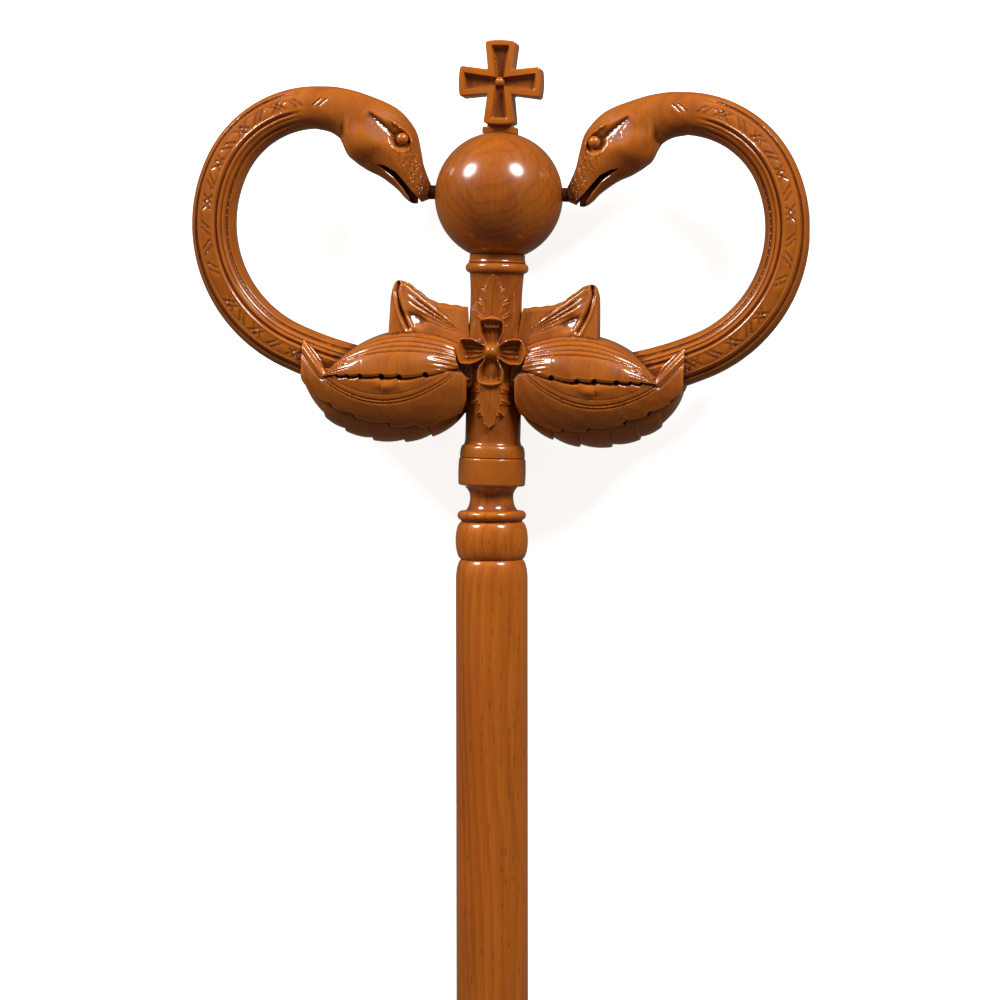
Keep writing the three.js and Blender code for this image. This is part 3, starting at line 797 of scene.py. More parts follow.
def wood_material(name, figure, tone, gather_and_shade, wear_and_highlight, gloss):
    """Beech under glossy lacquer, with its own ring figure."""
    if name in bpy.data.materials:
        return bpy.data.materials[name]
    material = bpy.data.materials.new(name)
    material.use_nodes = True
    tree = material.node_tree
    shader = tree.nodes["Principled BSDF"]
    tint = colours()
    grain = tree.nodes.new("ShaderNodeGroup")
    grain.node_tree = beech_grain()
    grain.inputs["Light"].default_value = rgba(tint.light, tone)
    grain.inputs["Deep"].default_value = rgba(tint.deep, tone)
    grain.inputs["Fleck"].default_value = rgba(tint.fleck, tone)
    for label, value in figure.items():
        grain.inputs[label].default_value = value
    cuts = tree.nodes.new("ShaderNodeGroup")
    cuts.node_tree = lacquer_and_painted_light()
    tree.links.new(grain.outputs["Color"], cuts.inputs["Color"])
    # Recess colour: lacquer gathered in the cuts, and painted shade
    cuts.inputs["Recess"].default_value = rgba(tint.recess)
    # Paler edge colour: wear, and a painted highlight
    cuts.inputs["Worn And Highlit"].default_value = rgba(tint.light, 1.3 * tone)
    cuts.inputs["Lacquer And Shade"].default_value = gather_and_shade
    cuts.inputs["Wear And Highlight"].default_value = wear_and_highlight
    tree.links.new(cuts.outputs["Color"], shader.inputs["Base Color"])
    rough = ranged(tree, cuts.outputs["Recess Mask"], 0.0, 1.0, 0.42, 0.6)
    tree.links.new(rough, shader.inputs["Roughness"])
    bump = node(
        tree,
        "ShaderNodeBump",
        {"Height": grain.outputs["Height"], "Strength": 0.1, "Distance": 0.0003},
    )
    tree.links.new(bump.outputs[0], shader.inputs["Normal"])
    # Where shade is painted, the coat is thinned so the dark patch stays matte
    coat = ranged(tree, cuts.outputs["Painted Shade Mask"], 0.0, 1.0, 0.9, 0.12)
    tree.links.new(coat, shader.inputs["Coat Weight"])
    shader.inputs["Coat Roughness"].default_value = gloss
    shader.inputs["Coat IOR"].default_value = 1.5
    shader.inputs["Specular IOR Level"].default_value = 0.2
    return material


def carved_wood():
    figure = {
        "Ring Direction": (0.32, 0.23, 0.92),
        "Ring Width": 0.0042,
        "Ring Contrast": 0.24,
        "Streaks": 0.6,
        "Flecks": 0.2,
    }
    return wood_material("Carved beech", figure, tone=0.67, gather_and_shade=0.85, wear_and_highlight=0.45, gloss=0.09)


def staff_wood():
    figure = {
        "Ring Direction": (0.88, 0.01, 0.48),
        "Ring Width": 0.0034,
        "Ring Contrast": 0.3,
        "Flecks": 0.4,
    }
    return wood_material("Turned beech", figure, tone=0.97, gather_and_shade=0.6, wear_and_highlight=0.1, gloss=0.1)


def orb_wood():
    figure = {
        "Ring Direction": (0.05, 0.52, 0.85),
        "Ring Width": 0.0034,
        "Ring Contrast": 0.26,
        "Line Sharpness": 4.0,
        "Flecks": 0.25,
    }
    return wood_material("Figured beech", figure, tone=0.66, gather_and_shade=0.5, wear_and_highlight=0.0, gloss=0.17)


# Turned pieces


def moulding(height, half, root, crown, steps=24):
    """Profile points of a half-round ring about a height."""
    angles = (np.arange(steps + 1) / steps - 0.5) * math.pi
    return [(root + (crown - root) * math.cos(a), height + half * math.sin(a)) for a in angles]


def staff_profile():
    """Radius and height points of the staff from its foot to the top of its spool."""
    foot = -STAFF_LENGTH
    bead_drop, bead_half, root = 22.9, 7.8, 12.6
    shoulder, shoulder_height = -bead_drop - bead_half, 9.0
    ring_drop, ring_half = 12.4, 1.9
    waist, waist_drop = 9.0, 4.5
    arc = np.linspace(0, math.pi / 2, 10)
    points = [(2.0, foot), (8.0, foot)]
    points += [
        (
            STAFF_RADIUS - FOOT_ROUNDING * (1 - math.sin(a)),
            foot + FOOT_ROUNDING * (1 - math.cos(a)),
        )
        for a in arc
    ]
    pole = np.linspace(foot + 12, shoulder - shoulder_height - 1, 60)
    points += [(STAFF_RADIUS, h) for h in pole]
    points += [
        (
            root + (STAFF_RADIUS - root) * math.cos(a),
            shoulder - shoulder_height * (1 - math.sin(a)),
        )
        for a in arc
    ]
    points += moulding(-bead_drop, bead_half, root, 15.1)[1:]
    points += moulding(-ring_drop, ring_half, root, 14.3, 14)[1:-1]
    top = -ring_drop + ring_half
    cove, cove_width, flare_width = -waist_drop - top, 2.6, 2.2
    points += [
        (waist + cove_width * (1 - math.sin(a)), top + cove * (1 - math.cos(a)))
        for a in np.linspace(0, math.pi / 2, 12)
    ]
    flare = waist_drop - SEAT_GAP
    points += [
        (waist + flare_width * t * t, -waist_drop + flare * t) for t in np.linspace(0.15, 1, 9)
    ]
    points.append((4.0, -SEAT_GAP))
    return points


def stem_radius(height):
    """The stem's radius, least at its waist."""
    away = np.minimum(
        1, np.abs(height - STEM_WAIST_HEIGHT) / (NECK_RING_HEIGHT - STEM_WAIST_HEIGHT)
    )
    return STEM_WAIST_RADIUS + (STEM_RADIUS - STEM_WAIST_RADIUS) * away * away


def stem_profile():
    """Radius and height points of the stem from its cup to its seat under the orb."""
    edge = 0.9
    arc = np.linspace(0, math.pi / 2, 6)
    start = CUP_HEIGHT + CUP_SHOULDER
    seat = ORB_HEIGHT - math.sqrt(ORB_RADIUS**2 - STEM_RADIUS**2) + 1
    points = [(4, 0), (CUP_RADIUS - edge, 0)]
    points += [(CUP_RADIUS - edge + edge * math.sin(a), edge * (1 - math.cos(a))) for a in arc[1:]]
    bulge = 0.15
    points += [
        (CUP_RADIUS + bulge * math.sin(math.pi * t), edge + (CUP_HEIGHT - edge) * t)
        for t in np.linspace(0.1, 0.95, 8)
    ]
    points += [(CUP_RADIUS - 0.7 * (1 - math.cos(a)), CUP_HEIGHT + 1.1 * math.sin(a)) for a in arc]
    bead_low, bead_high, bead_width, fillet = CUP_HEIGHT + 1.5, CUP_HEIGHT + 6.4, 1.45, 0.6
    points += [
        (
            STEM_RADIUS + fillet + bead_width * math.cos(a) ** 0.8,
            bead_low + (bead_high - bead_low) * math.sin(a),
        )
        for a in np.linspace(0, math.pi / 2, 12)[:-1]
    ]
    points += [
        (STEM_RADIUS + fillet * (1 - t) ** 2, bead_high + (start - bead_high) * t)
        for t in (0.1, 0.4, 0.7, 1)
    ]
    points += [
        (float(stem_radius(h)), h)
        for h in np.linspace(start + 2, NECK_RING_HEIGHT - NECK_RING_HALF - 0.6, 40)
    ]
    points += moulding(NECK_RING_HEIGHT, NECK_RING_HALF, STEM_RADIUS, NECK_RING_RADIUS, 14)
    above = NECK_RING_HEIGHT + NECK_RING_HALF
    points += [
        (STEM_RADIUS + 0.5 * (1 - t) ** 2, above + 0.4 + 1.6 * t) for t in np.linspace(0, 1, 5)
    ]
    points += [(STEM_RADIUS, seat), (3, seat)]
    return points


# Flower and leaves on the stem


def petal(turn):
    """One cupped petal with a rolled rim and three ribs, pointing along +X before it is turned."""
    rows, across = 46, 34
    t = np.linspace(0, 1, rows)[:, None]
    s = np.linspace(-1, 1, across)[None, :]
    half = PETAL_HALF_WIDTH * (0.42 + 0.58 * smooth(0, 0.62, t)) * np.sqrt(
        np.clip(1 - np.clip((t - 0.74) / 0.28, 0, 1) ** 4, 0.02, 1)
    )
    reach = PETAL_REACH - PETAL_START
    bulge = 0.10 * (1 - s * s) * smooth(0.55, 1, t)
    x = PETAL_START + reach * (t * (0.93 + bulge) + 0 * s)
    y = half * s
    rim = np.maximum(smooth(0.62, 0.86, np.abs(s)), smooth(0.72, 0.9, t)) * smooth(0.08, 0.4, t)
    roll = groove(np.maximum(np.abs(s), smooth(0.6, 1, t)) - 0.9, 0.16)
    ribs = 0.8 * (groove(s, 0.17) + 0.6 * groove(np.abs(s) - 0.42, 0.13)) * smooth(0.1, 0.3, t)
    hollow = 3.3 * (1 - rim) * smooth(0.0, 0.3, t)
    lip = 0.9
    top = PETAL_BACK + PETAL_DEPTH - hollow + ribs * (1 - rim)
    top = top - lip + lip * roll * smooth(0.1, 0.4, t)
    fall = smooth(0.93, 1.0, np.abs(s)) + smooth(0.96, 1.0, t)
    top = top - 1.6 * np.clip(fall, 0, 1)
    base = np.full_like(top, PETAL_BACK - 1.5)
    front = np.stack([x, y, top], -1)
    shrink = 0.82 + 0.06 * t
    back = np.stack([x * (0.96 + 0 * s), y * shrink, base], -1)
    rings = np.concatenate([front, back[:, ::-1]], axis=1)
    made = skinned("petal", rings)
    made.data.transform(Matrix.Translation((0, FLOWER_HEIGHT, 0)) @ Matrix.Rotation(turn, 4, "Z"))
    return made


def stem_leaf(root, length, half, way, grown=0.0):
    """A leaf laid on the stem's front: a flat middle, and four scooped lobes on each side."""
    rows, across = 110, 64
    t = np.linspace(0, 1, rows)[:, None]
    s = np.linspace(-1, 1, across)[None, :]
    lobes = 4
    tooth_share = (t * lobes) % 1
    envelope = half * np.sin(math.pi * np.minimum(1, 0.3 + 0.7 * t)) ** 0.7
    width = grown + np.maximum(0.5, envelope * (1 - 0.22 * (1 - tooth_share) ** 1.6))
    height = FLOWER_HEIGHT + way * (root + length * t) + 0 * s
    x = width * s
    surface = np.sqrt(np.maximum(1, stem_radius(height) ** 2 - x**2))
    outward = np.clip((np.abs(s) - 0.55) / 0.45, 0, 1)
    phase = (t + 0.11 * (1 - outward)) * lobes % 1
    ridge = groove(np.minimum(phase, 1 - phase), 0.13) * smooth(0, 0.25, outward)
    scoop = np.sin(math.pi * phase) * smooth(0, 0.5, outward) * smooth(1.0, 0.85, t)
    edge = groove(np.abs(s) - 0.52, 0.07) * smooth(1.0, 0.8, t)
    lift = STEM_LEAF_THICKNESS + 0.25 - 0.9 * outward - 0.75 * scoop + 0.55 * ridge + 0.25 * edge
    lift = lift - 0.3 * groove(s, 0.06) * smooth(0.95, 0.6, t)
    if grown:
        lift = STEM_LEAF_THICKNESS + 0.7 + grown + 0 * s
    front = np.stack([x, height, surface + lift], -1)
    back = np.stack([x, height, surface - 2], -1)
    return skinned("stem_leaf", np.concatenate([front, back[:, ::-1]], axis=1))


def stem_leaves(grown=0.0):
    return [
        stem_leaf(leaf["root"], leaf["length"], leaf["half"], leaf["way"], grown)
        for leaf in (UPPER_LEAF, LOWER_LEAF)
    ]


# Cross


def cross_outline(middle, end, inset, rounding, bulge=0.0):
    """A cross from half widths at its middle and ends, with rounded corners and bulging ends."""
    points = []
    quarter = np.linspace(0, math.pi / 2, 7)
    corner = [(rounding * (1 - math.sin(a)), rounding * math.cos(a)) for a in quarter]
    for i, reach in enumerate(CROSS_REACHES):
        tip = reach - inset - bulge
        straight = end - rounding
        arm = [(middle, -middle)]
        arm += [(tip - back, -straight - out) for back, out in corner]
        arm += [(tip + bulge * (1 - y * y), straight * y) for y in (-0.7, -0.35, 0, 0.35, 0.7)]
        arm += [(tip - back, straight + out) for back, out in corner[::-1]]
        c, s = round(math.cos(i * math.pi / 2)), round(math.sin(i * math.pi / 2))
        points += [(c * x - s * y, s * x + c * y) for x, y in arm]
    return points


def bevel(piece, width, segments, angle):
    """Rounds the edges of a piece that are sharper than an angle."""
    step = piece.modifiers.new("bevel", "BEVEL")
    step.width = width
    step.segments = segments
    step.limit_method = "ANGLE"
    step.angle_limit = angle * DEGREE
    graph = bpy.context.evaluated_depsgraph_get()
    mesh = bpy.data.meshes.new_from_object(piece.evaluated_get(graph))
    piece.modifiers.clear()
    piece.data = mesh


def recess(front):
    """The sunk panel of the cross on one face, its walls sloping in."""
    slope, above = 1.0, 1.0
    grown = slope * above / CROSS_RECESS
    face = CROSS_THICKNESS / 2

    def panel(shrunk):
        middle, end = PANEL_MIDDLE - shrunk, PANEL_END - shrunk
        return cross_outline(middle, end, CROSS_RIM + shrunk, PANEL_ROUNDING)

    made = prism("recess", panel(slope), face - CROSS_RECESS, face + above, panel(-grown))
    bevel(made, 0.4, 3, 50)
    if not front:
        made.data.transform(Matrix.Rotation(math.pi, 4, "Y"))
    return made


def tool_marks():
    """Pits left by the point of the tool along the walls of the upright panels."""
    pits = []
    floor = CROSS_THICKNESS / 2 - CROSS_RECESS
    for way, reach in ((1, CROSS_REACHES[1]), (-1, CROSS_REACHES[3])):
        last = reach - CROSS_RIM - 1.6
        for i, y in enumerate(np.arange(4.2, last, 1.1)):
            share = (y - PANEL_MIDDLE) / (last - PANEL_MIDDLE)
            wall = PANEL_MIDDLE - 0.5 + (PANEL_END - PANEL_MIDDLE) * share
            for side in (-1, 1):
                centre = (side * (wall + 0.12 * (-1) ** i), way * (y + 0.25 * side), floor + 0.35)
                pits.append(ball("pit", centre, (0.42, 0.42, 0.5), 10))
    return together("tool_marks", pits)


# Serpents


def body_line(distance):
    """Point and heading of the serpent's middle line at distances from its neck."""
    x, y, heading = (np.full(len(distance), value, float) for value in NECK)
    left = np.asarray(distance, float).copy()
    for radius, turn in BODY_ARCS:
        used = np.clip(left / radius, 0, turn)
        cx, cy = x + radius * np.sin(heading), y - radius * np.cos(heading)
        heading = heading - used
        x, y = cx - radius * np.sin(heading), cy + radius * np.cos(heading)
        left = left - radius * turn
    return x, y, heading


def band_strokes():
    """The incised marks on the band: pairs of slanting strokes between crossed ones."""
    strokes = []
    half, apart = 1.6, 1.25
    for at, kind in BAND_MARKS:
        leans = {"right": (1,), "left": (-1,), "crossed": (1, -1)}[kind]
        for lean in leans:
            for shift in (-apart, apart):
                start, end = at + shift - half * lean, at + shift + half * lean
                strokes.append(((start, -half), (end, half)))
    return strokes


def serpent_sections():
    """Top, underside and half depth along the serpent, and how far past its neck they lie."""
    head = through(HEAD_SECTIONS, 145)[::-1]
    middle = (head[:, :2] + head[:, 2:4]) / 2
    steps = np.hypot(*np.diff(middle, axis=0).T)
    to_neck = -np.append(np.cumsum(steps[::-1])[::-1], 0)
    step = 0.68
    along = np.concatenate(
        [np.arange(step, BODY_SEEN, step), np.linspace(BODY_SEEN, BODY_LENGTH, 10)]
    )
    x, y, heading = body_line(along)
    half = BODY_HALF_NECK + (BODY_HALF_ROOT - BODY_HALF_NECK) * along / BODY_LENGTH
    across, up = half * np.sin(heading), half * np.cos(heading)
    depth = np.full(len(along), BODY_HALF_DEPTH)
    body = np.column_stack([x - across, y + up, x + across, y - up, depth])
    return np.vstack([head, body]), np.concatenate([to_neck, along])


def body_relief(along, u, front):
    """How deep the grooves and the band's marks cut, along the serpent and across it."""
    fade = smooth(2, 12, along) * (0.35 + 0.65 * smooth(4, GROOVE_FADE, along))
    dots = 0.5 + 0.5 * np.cos(2 * math.pi * along / 1.7)
    outer = groove(u + 0.68, 0.11) * (0.95 + 0.35 * dots)
    inner = groove(u - 0.69, 0.10) * (0.8 + 0.35 * dots)
    beside = groove(u - 0.25, 0.085) + 0.5 * groove(u - 0.47, 0.05)
    crest = 0.3 * (groove(u + 0.52, 0.05) + groove(u - 0.12, 0.05))
    deep = 1000 * carving().groove
    cut = deep * np.where(front, outer + inner + beside - crest, 0.6 * (outer + inner)) * fade
    marks = np.zeros(np.shape(along + u))
    side = (u + 0.2) * BODY_HALF_NECK
    for a, b in band_strokes():
        away, _ = to_segment(along + 0 * u, side, a, b)
        marks = np.maximum(marks, groove(away, 0.42))
    return cut + 1000 * carving().mark * marks * front


def tapered(share):
    """1 along a line, falling smoothly to 0 at both of its ends."""
    return smooth(0, 0.2, share) * smooth(1, 0.8, share)


def head_relief(x, y, z):
    """The head's depth with cheeks, ridges, brows and eye sockets, at points seen from the side."""
    cheek = 1 - ((x - CHEEK["x"]) / CHEEK["ax"]) ** 2 - ((y - CHEEK["y"]) / CHEEK["ay"]) ** 2
    swell = CHEEK["z"] + CHEEK["az"] * np.sqrt(np.clip(cheek, 0, 1))
    blend = 0.7
    z = np.where(cheek > 0, blend * np.logaddexp(z / blend, swell / blend), z)
    within = smooth(0, 3, z)
    jaw = np.hypot(x - HINGE[0], y - HINGE[1])
    hinge = smooth(154, 145, y) * smooth(50, 56, x) * within
    z = z - 0.9 * smooth(*HINGE_FALL, jaw) * smooth(77, 64, x) * hinge
    z = z + 0.5 * groove(jaw - HINGE_CREASE, 1.5) * hinge * smooth(141, 145, y)
    (ax, ay), (bx, by) = RIDGE
    length = math.hypot(bx - ax, by - ay)
    dx, dy = (bx - ax) / length, (by - ay) / length
    along = ((x - ax) * dx + (y - ay) * dy) / length
    aside = (y - ay) * dx - (x - ax) * dy
    edge = smooth(-0.9, 0.2, aside)
    share = np.clip(along, 0, 1)
    floor = FACET_LEVEL - 0.5 * share
    soft = 0.3
    scraped = np.sin(5.1 * x + 2.3 * np.sin(3.7 * y)) * np.sin(4.7 * y + 2.1 * np.sin(2.9 * x))
    plane = floor + FACET_SLOPE * aside + 0.05 * scraped
    facet = soft * np.logaddexp(0, (z - plane) / soft)
    facet = facet * edge * smooth(1.6, 1.2, along)
    wall = np.clip(1 + aside / (1.1 + 3.1 * share**1.3), 0, 1)
    wedge = (z - floor + 0.4 + 0.9 * share) * wall * (1 - edge) * smooth(1.32, 1.02, along)
    z = z - (facet + wedge) * smooth(-0.12, 0.12, along) * within
    to_eye = np.hypot(x - EYE[0] - 0.7, y - EYE[1] + 0.8)
    z = z - 2.3 * np.clip(1 - (to_eye / 4.7) ** 2, 0, 1) * within
    to_brow, brow_share = to_path(x, y, BROW)
    z = z + 1.4 * groove(to_brow, 1.15) * tapered(brow_share) * within
    to_lid, lid_share = to_path(x, y, LOWER_LID)
    z = z + 0.6 * groove(to_lid, 1.2) * tapered(lid_share) * within
    to_lip, _ = to_path(x, y, MOUTH[8:12])
    z = z + 0.6 * groove(to_lip - 0.7, 0.7) * within
    to_snout, _ = to_segment(x, y, (39, 136), (30, 122))
    stipple = np.sin(7.1 * x + 1.7 * np.sin(5.3 * y)) * np.sin(6.3 * y + 1.9 * np.sin(4.7 * x))
    return z + 0.28 * stipple * smooth(5.5, 3, to_snout) * within


def serpent_form():
    """The serpent from its nose to its end inside the sheath, one rounded section swept through."""
    rows, along = serpent_sections()
    angle = np.concatenate(
        [
            np.linspace(0, math.pi, 84, endpoint=False),
            np.linspace(math.pi, 2 * math.pi, 40, endpoint=False),
        ]
    )
    c, s = -np.cos(angle), np.sin(angle)
    power = 2 / 2.3
    u = (np.sign(c) * np.abs(c) ** power)[None, :]
    w = (np.sign(s) * np.abs(s) ** power)[None, :]
    top, under = rows[:, None, :2], rows[:, None, 2:4]
    flat = (top + under) / 2 - (top - under) / 2 * u[..., None]
    x, y = flat[..., 0], flat[..., 1]
    z = rows[:, 4:5] * np.abs(w)
    along = along[:, None]
    z = np.where(along < 1, head_relief(x, y, z), z)
    z = z - body_relief(along, u, w > 0) * np.clip(np.abs(w) / 0.35, 0, 1)
    return skinned("serpent", np.stack([x, y, np.sign(w) * np.maximum(z, 0)], -1))


def mouth_cuts():
    """The mouth, cut from both sides to a web between the jaws, and right through at their tips."""
    upper = [point for point in MOUTH[:7] if point[0] < MOUTH_WEB_TIP]
    (ax, ay), (bx, by) = MOUTH[4:6]
    level = ay + (by - ay) * (MOUTH_WEB_TIP - ax) / (bx - ax)
    tip = [(MOUTH_WEB_TIP, level), *upper, (MOUTH_WEB_TIP, MOUTH[6][1])]
    reach = 2 * BODY_HALF_DEPTH
    return [
        prism("mouth", MOUTH, MOUTH_WEB, reach),
        prism("mouth", MOUTH, -reach, -MOUTH_WEB),
        prism("mouth", tip, -reach, reach),
    ]


def sheath_lower_edge(x):
    share = (x - SHEATH_BOTTOM["x"]) / SHEATH_BOTTOM["ax"]
    return SHEATH_BOTTOM["y"] - SHEATH_BOTTOM["ay"] * np.sqrt(np.clip(1 - share * share, 0, 1))


def body_upper_edge(x):
    """The line that continues the serpent's upper side over its sheath."""
    seen = sum(radius * turn for radius, turn in BODY_ARCS[:2])
    line_x, line_y, _ = body_line(np.array([BODY_LENGTH, seen]))
    slope = (line_y[1] - line_y[0]) / (line_x[1] - line_x[0])
    return line_y[0] + slope * (x - line_x[0]) + BODY_HALF_ROOT


def lid_upper_edge(x):
    across = np.minimum(np.abs(x - LID_TOP["x"]), LID_TIP - LID_TOP["x"])
    return LID_TOP["y"] + np.sqrt(LID_TOP["r"] ** 2 - across**2)


def lower_leaf_upper_edge(x):
    return np.maximum(lid_upper_edge(x), body_upper_edge(x))


def sheath_point(x, angle, upper, lower, proud):
    """Points on the sheath: angle 0 at the front, 90 degrees at the top, 180 at the back."""
    c, s = np.cos(angle), np.sin(angle)
    reach = np.where(s >= 0, upper - SHEATH_MIDDLE, SHEATH_MIDDLE - lower)
    share = (x - SHEATH_WIDE) / (LEAF_TIP - SHEATH_WIDE)
    widest = np.where(c >= 0, SHEATH_FRONT, SHEATH_BACK)
    depth = SHEATH_MOUTH + (widest - SHEATH_MOUTH) * (1 - share * share)
    return np.stack([x + 0 * angle, SHEATH_MIDDLE + (reach + proud) * s, (depth + proud) * c], -1)


def tooth(x, notches):
    """A lobed margin: 0 just past each notch, rising fast and then gently to 1 before the next."""
    risen = np.zeros(np.shape(x))
    for first, last in zip(notches, notches[1:]):
        share = (x - first) / (last - first)
        lobe = 1 - (1 - np.clip(share, 0, 1)) ** 2.4
        risen = np.where((share >= 0) & (share < 1), lobe, risen)
    return risen


def sheath_bulk():
    """The rounded bulk of the sheath with the under leaf's toothed edge."""
    x = np.linspace(SHEATH_ROOT - 4, LEAF_TIP - 2, 170)[:, None]
    angle = (np.arange(110) * 2 * math.pi / 110)[None, :]
    upper = lid_upper_edge(x) - LID_PROUD
    teeth = 1000 * carving().tooth * (0.5 - tooth(x, UNDER_NOTCHES))
    lower = np.minimum(sheath_lower_edge(x) + teeth, SHEATH_MIDDLE - 2)
    turn = (angle + math.pi) % (2 * math.pi) - math.pi
    below = (lower_leaf_margin(x) - turn) / DEGREE
    gap = np.where(turn < 0, UNDER_GAP * smooth(4, 0.5, below), 0)
    return skinned("bulk", sheath_point(x, angle, upper, lower, -gap))


def lid_margin(x):
    """Angle of the lid's free edge, with a lobe between every two notches."""
    rise = np.clip((35 - x) / 21, 0, None)
    return (3 - 2.4 * tooth(x, LID_NOTCHES) + 17 * rise * rise) * DEGREE


def lower_leaf_margin(x):
    """Angle of the lower leaf's free edge, with a lobe between every two notches."""
    share = (x - SHEATH_ROOT) / (LEAF_TIP - SHEATH_ROOT)
    return (-54 + 28 * share - 4.5 * tooth(x, LOWER_NOTCHES)) * DEGREE


def under_lid(x):
    """Angle of the lower leaf's hidden edge, which comes out past the lid's tip."""
    past = np.clip(x - LID_TIP, 0, None) / (LEAF_TIP - LID_TIP)
    return np.arcsin(np.minimum(0.8, 0.2 + 0.6 * past**0.6))


def lid_relief(x, height):
    """Grooves under the lid's upper edge, a soft dish in its face and ripples beside the flower."""
    reach = smooth(15, 24, x) * smooth(69.2, 67, x)
    lines = sum(groove(height - at, 0.035) for at in (0.3, 0.44, 0.56, 0.66, 0.76, 0.86)) * reach
    lines = lines * np.where(height < 0.5, smooth(57, 62, x), 1)
    dish = 0.6 * np.exp(-(((x - 46) / 12) ** 2) - ((height - 0.34) / 0.17) ** 2)
    dish = dish + 0.2 * np.exp(-(((x - 21) / 4) ** 2) - ((height - 0.5) / 0.2) ** 2)
    ripples = (0.5 + 0.5 * np.cos(20 * math.pi * height)) * smooth(27, 17, x)
    ripples = ripples * smooth(0.1, 0.25, height)
    return 0.42 * ripples - dish - 1000 * carving().vein * lines


def lower_leaf_relief(x, y, angle):
    """The gap under the lid, a pair of fine grooves along the leaf and the ridge to its tip."""
    below = (lid_margin(x) - angle) / DEGREE
    gap = LID_GAP * smooth(4, 0.5, below) * smooth(LID_TIP + 1, LID_TIP - 3, x)
    off = y - 33.9 - (x - 44) ** 2 / 70
    pair = groove(off - 0.65, 0.5) + groove(off + 0.65, 0.5) + 0.4 * groove(off - 3, 0.5)
    reach = smooth(12, 18, x) * smooth(74, 66, x)
    ridge, _ = to_segment(x + 0 * y, y, (80.5, 57), (69.5, 44.5))
    tip = 0.35 * groove(ridge, 1.0) - 0.5 * groove(ridge - 1.9, 1.0)
    swell = 0.8 * np.exp(-(((x - 42) / 5) ** 2)) * groove(below - 8, 6)
    return tip + swell - gap - 1000 * carving().vein * pair * reach


def sheath_leaf(kind, front):
    """The lid or the lower leaf, on the front or the back of the sheath."""
    lid = kind == "lid"
    end = LID_TIP if lid else LEAF_TIP - 1
    count, across = (200, 84) if front else (90, 40)
    x = np.linspace(SHEATH_ROOT - 2, end, count)[:, None]
    first = lid_margin(x) if lid else lower_leaf_margin(x)
    last = 84 * DEGREE + 0 * x if lid else under_lid(x)
    proud = LID_PROUD + LEAF_PROUD if lid else LEAF_PROUD
    upper = (lid_upper_edge(x) if lid else lower_leaf_upper_edge(x)) - proud
    lower = sheath_lower_edge(x)
    share = np.linspace(0, 1, across)[None, :]
    angle = first + (last - first) * share
    rolled = 0.6 * smooth(0.06, 0, share) ** 2
    if lid:
        thinned = LID_THINNED * smooth(0.35, 0, share) ** 1.5
        lift = lid_relief(x, np.sin(angle)) * (1 if front else 0.6) - rolled - thinned
    else:
        y = sheath_point(x, angle, upper, lower, proud)[..., 1]
        lift = lower_leaf_relief(x, y, angle) - rolled
    hidden = first + (last - first) * np.linspace(1, 0, 12)[None, :]
    if not front:
        angle, hidden = math.pi - angle, math.pi - hidden
    outer = sheath_point(x, angle, upper, lower, proud + lift)
    inner = sheath_point(x, hidden, upper, lower, -LEAF_SINK)
    return skinned(kind, np.concatenate([outer, inner], axis=1))


def curled_leaf():
    """The upright leaf above the lid, its streaks fanning out from the root to a slit."""
    top = through(CURL_TOP, 130)
    x = top[:, :1]
    y_top = top[:, 1:2] + 0.3 * np.sin(0.9 * x) * np.sin(0.37 * x + 1)
    span = (x - SHEATH_ROOT) / (CURL_TOP[-1][0] - SHEATH_ROOT)
    share = (1 - (1 - np.linspace(0, 1, 72)) ** 1.3)[None, :]
    y = CURL_FOOT + (y_top - CURL_FOOT) * share
    fan = np.arctan2(y - 60, x - 8) / DEGREE
    streaks = sum(deep * groove(fan - at, wide) for at, wide, deep in CURL_STREAKS)
    streaks = streaks * smooth(11, 17, x) * smooth(38, 31, x)
    slit, slit_share = to_path(x + 0 * y, y, CURL_SLIT)
    ax, ay = (x - 33) * 0.924 + (y - 68.3) * 0.382, (y - 68.3) * 0.924 - (x - 33) * 0.382
    scoop = np.exp(-(((ax / 4.8) ** 2 + (ay / 2.8) ** 2) ** 2))
    scoop = scoop * (1.1 - 0.21 * (x - 33) + 0.27 * (y - 68.3))
    front = CURL_FRONT + 3 * span - 6 * share * share - streaks - scoop
    opened = 0.75 + 0.25 * np.cos(9 * slit_share)
    front = front - 2.2 * opened * groove(slit, 1.1 * opened) + 0.6 * groove(slit - 1.6, 0.9)
    front = front - 1.0 * smooth(0.95, 1.0, share) ** 2
    hidden = np.linspace(1, 0, 24)[None, :]
    behind = CURL_BACK + 4 * hidden * hidden + 0.6 * smooth(0.92, 1.0, hidden)
    outer = np.stack([x + 0 * share, y, front], -1)
    inner = np.stack([x + 0 * hidden, CURL_FOOT + (y_top - CURL_FOOT) * hidden, behind + 0 * x], -1)
    return skinned("curl", np.concatenate([outer, inner], axis=1))


def drill_places():
    """Middle, direction and radius of each hole drilled at the leaves' notches."""
    places = []
    for notches, margin, proud, radii in (
        (LID_NOTCHES[1:], lid_margin, LID_PROUD + LEAF_PROUD, LID_DRILLS),
        (LOWER_NOTCHES[1:], lower_leaf_margin, LEAF_PROUD, LOWER_DRILLS),
    ):
        for at, radius in zip(notches, radii):
            x = np.array([[at + 0.05]])
            spot = sheath_point(
                x, margin(x) - 2.2 * DEGREE, lid_upper_edge(x), sheath_lower_edge(x), proud - 1.2
            )[0, 0]
            aim = Vector((0, spot[1] - SHEATH_MIDDLE, spot[2])).normalized()
            places.append((Vector(spot), aim, radius))
    return places


def notch_drills():
    drills = []
    for spot, aim, radius in drill_places():
        drill = turned("drill", [(0.3, -3.2), (0.75 * radius, -3), (radius, 4), (0.3, 4.2)], 20)
        turn = Vector((0, 1, 0)).rotation_difference(aim).to_matrix().to_4x4()
        drill.data.transform(Matrix.Translation(spot) @ turn)
        drills.append(drill)
    return together("drills", drills)


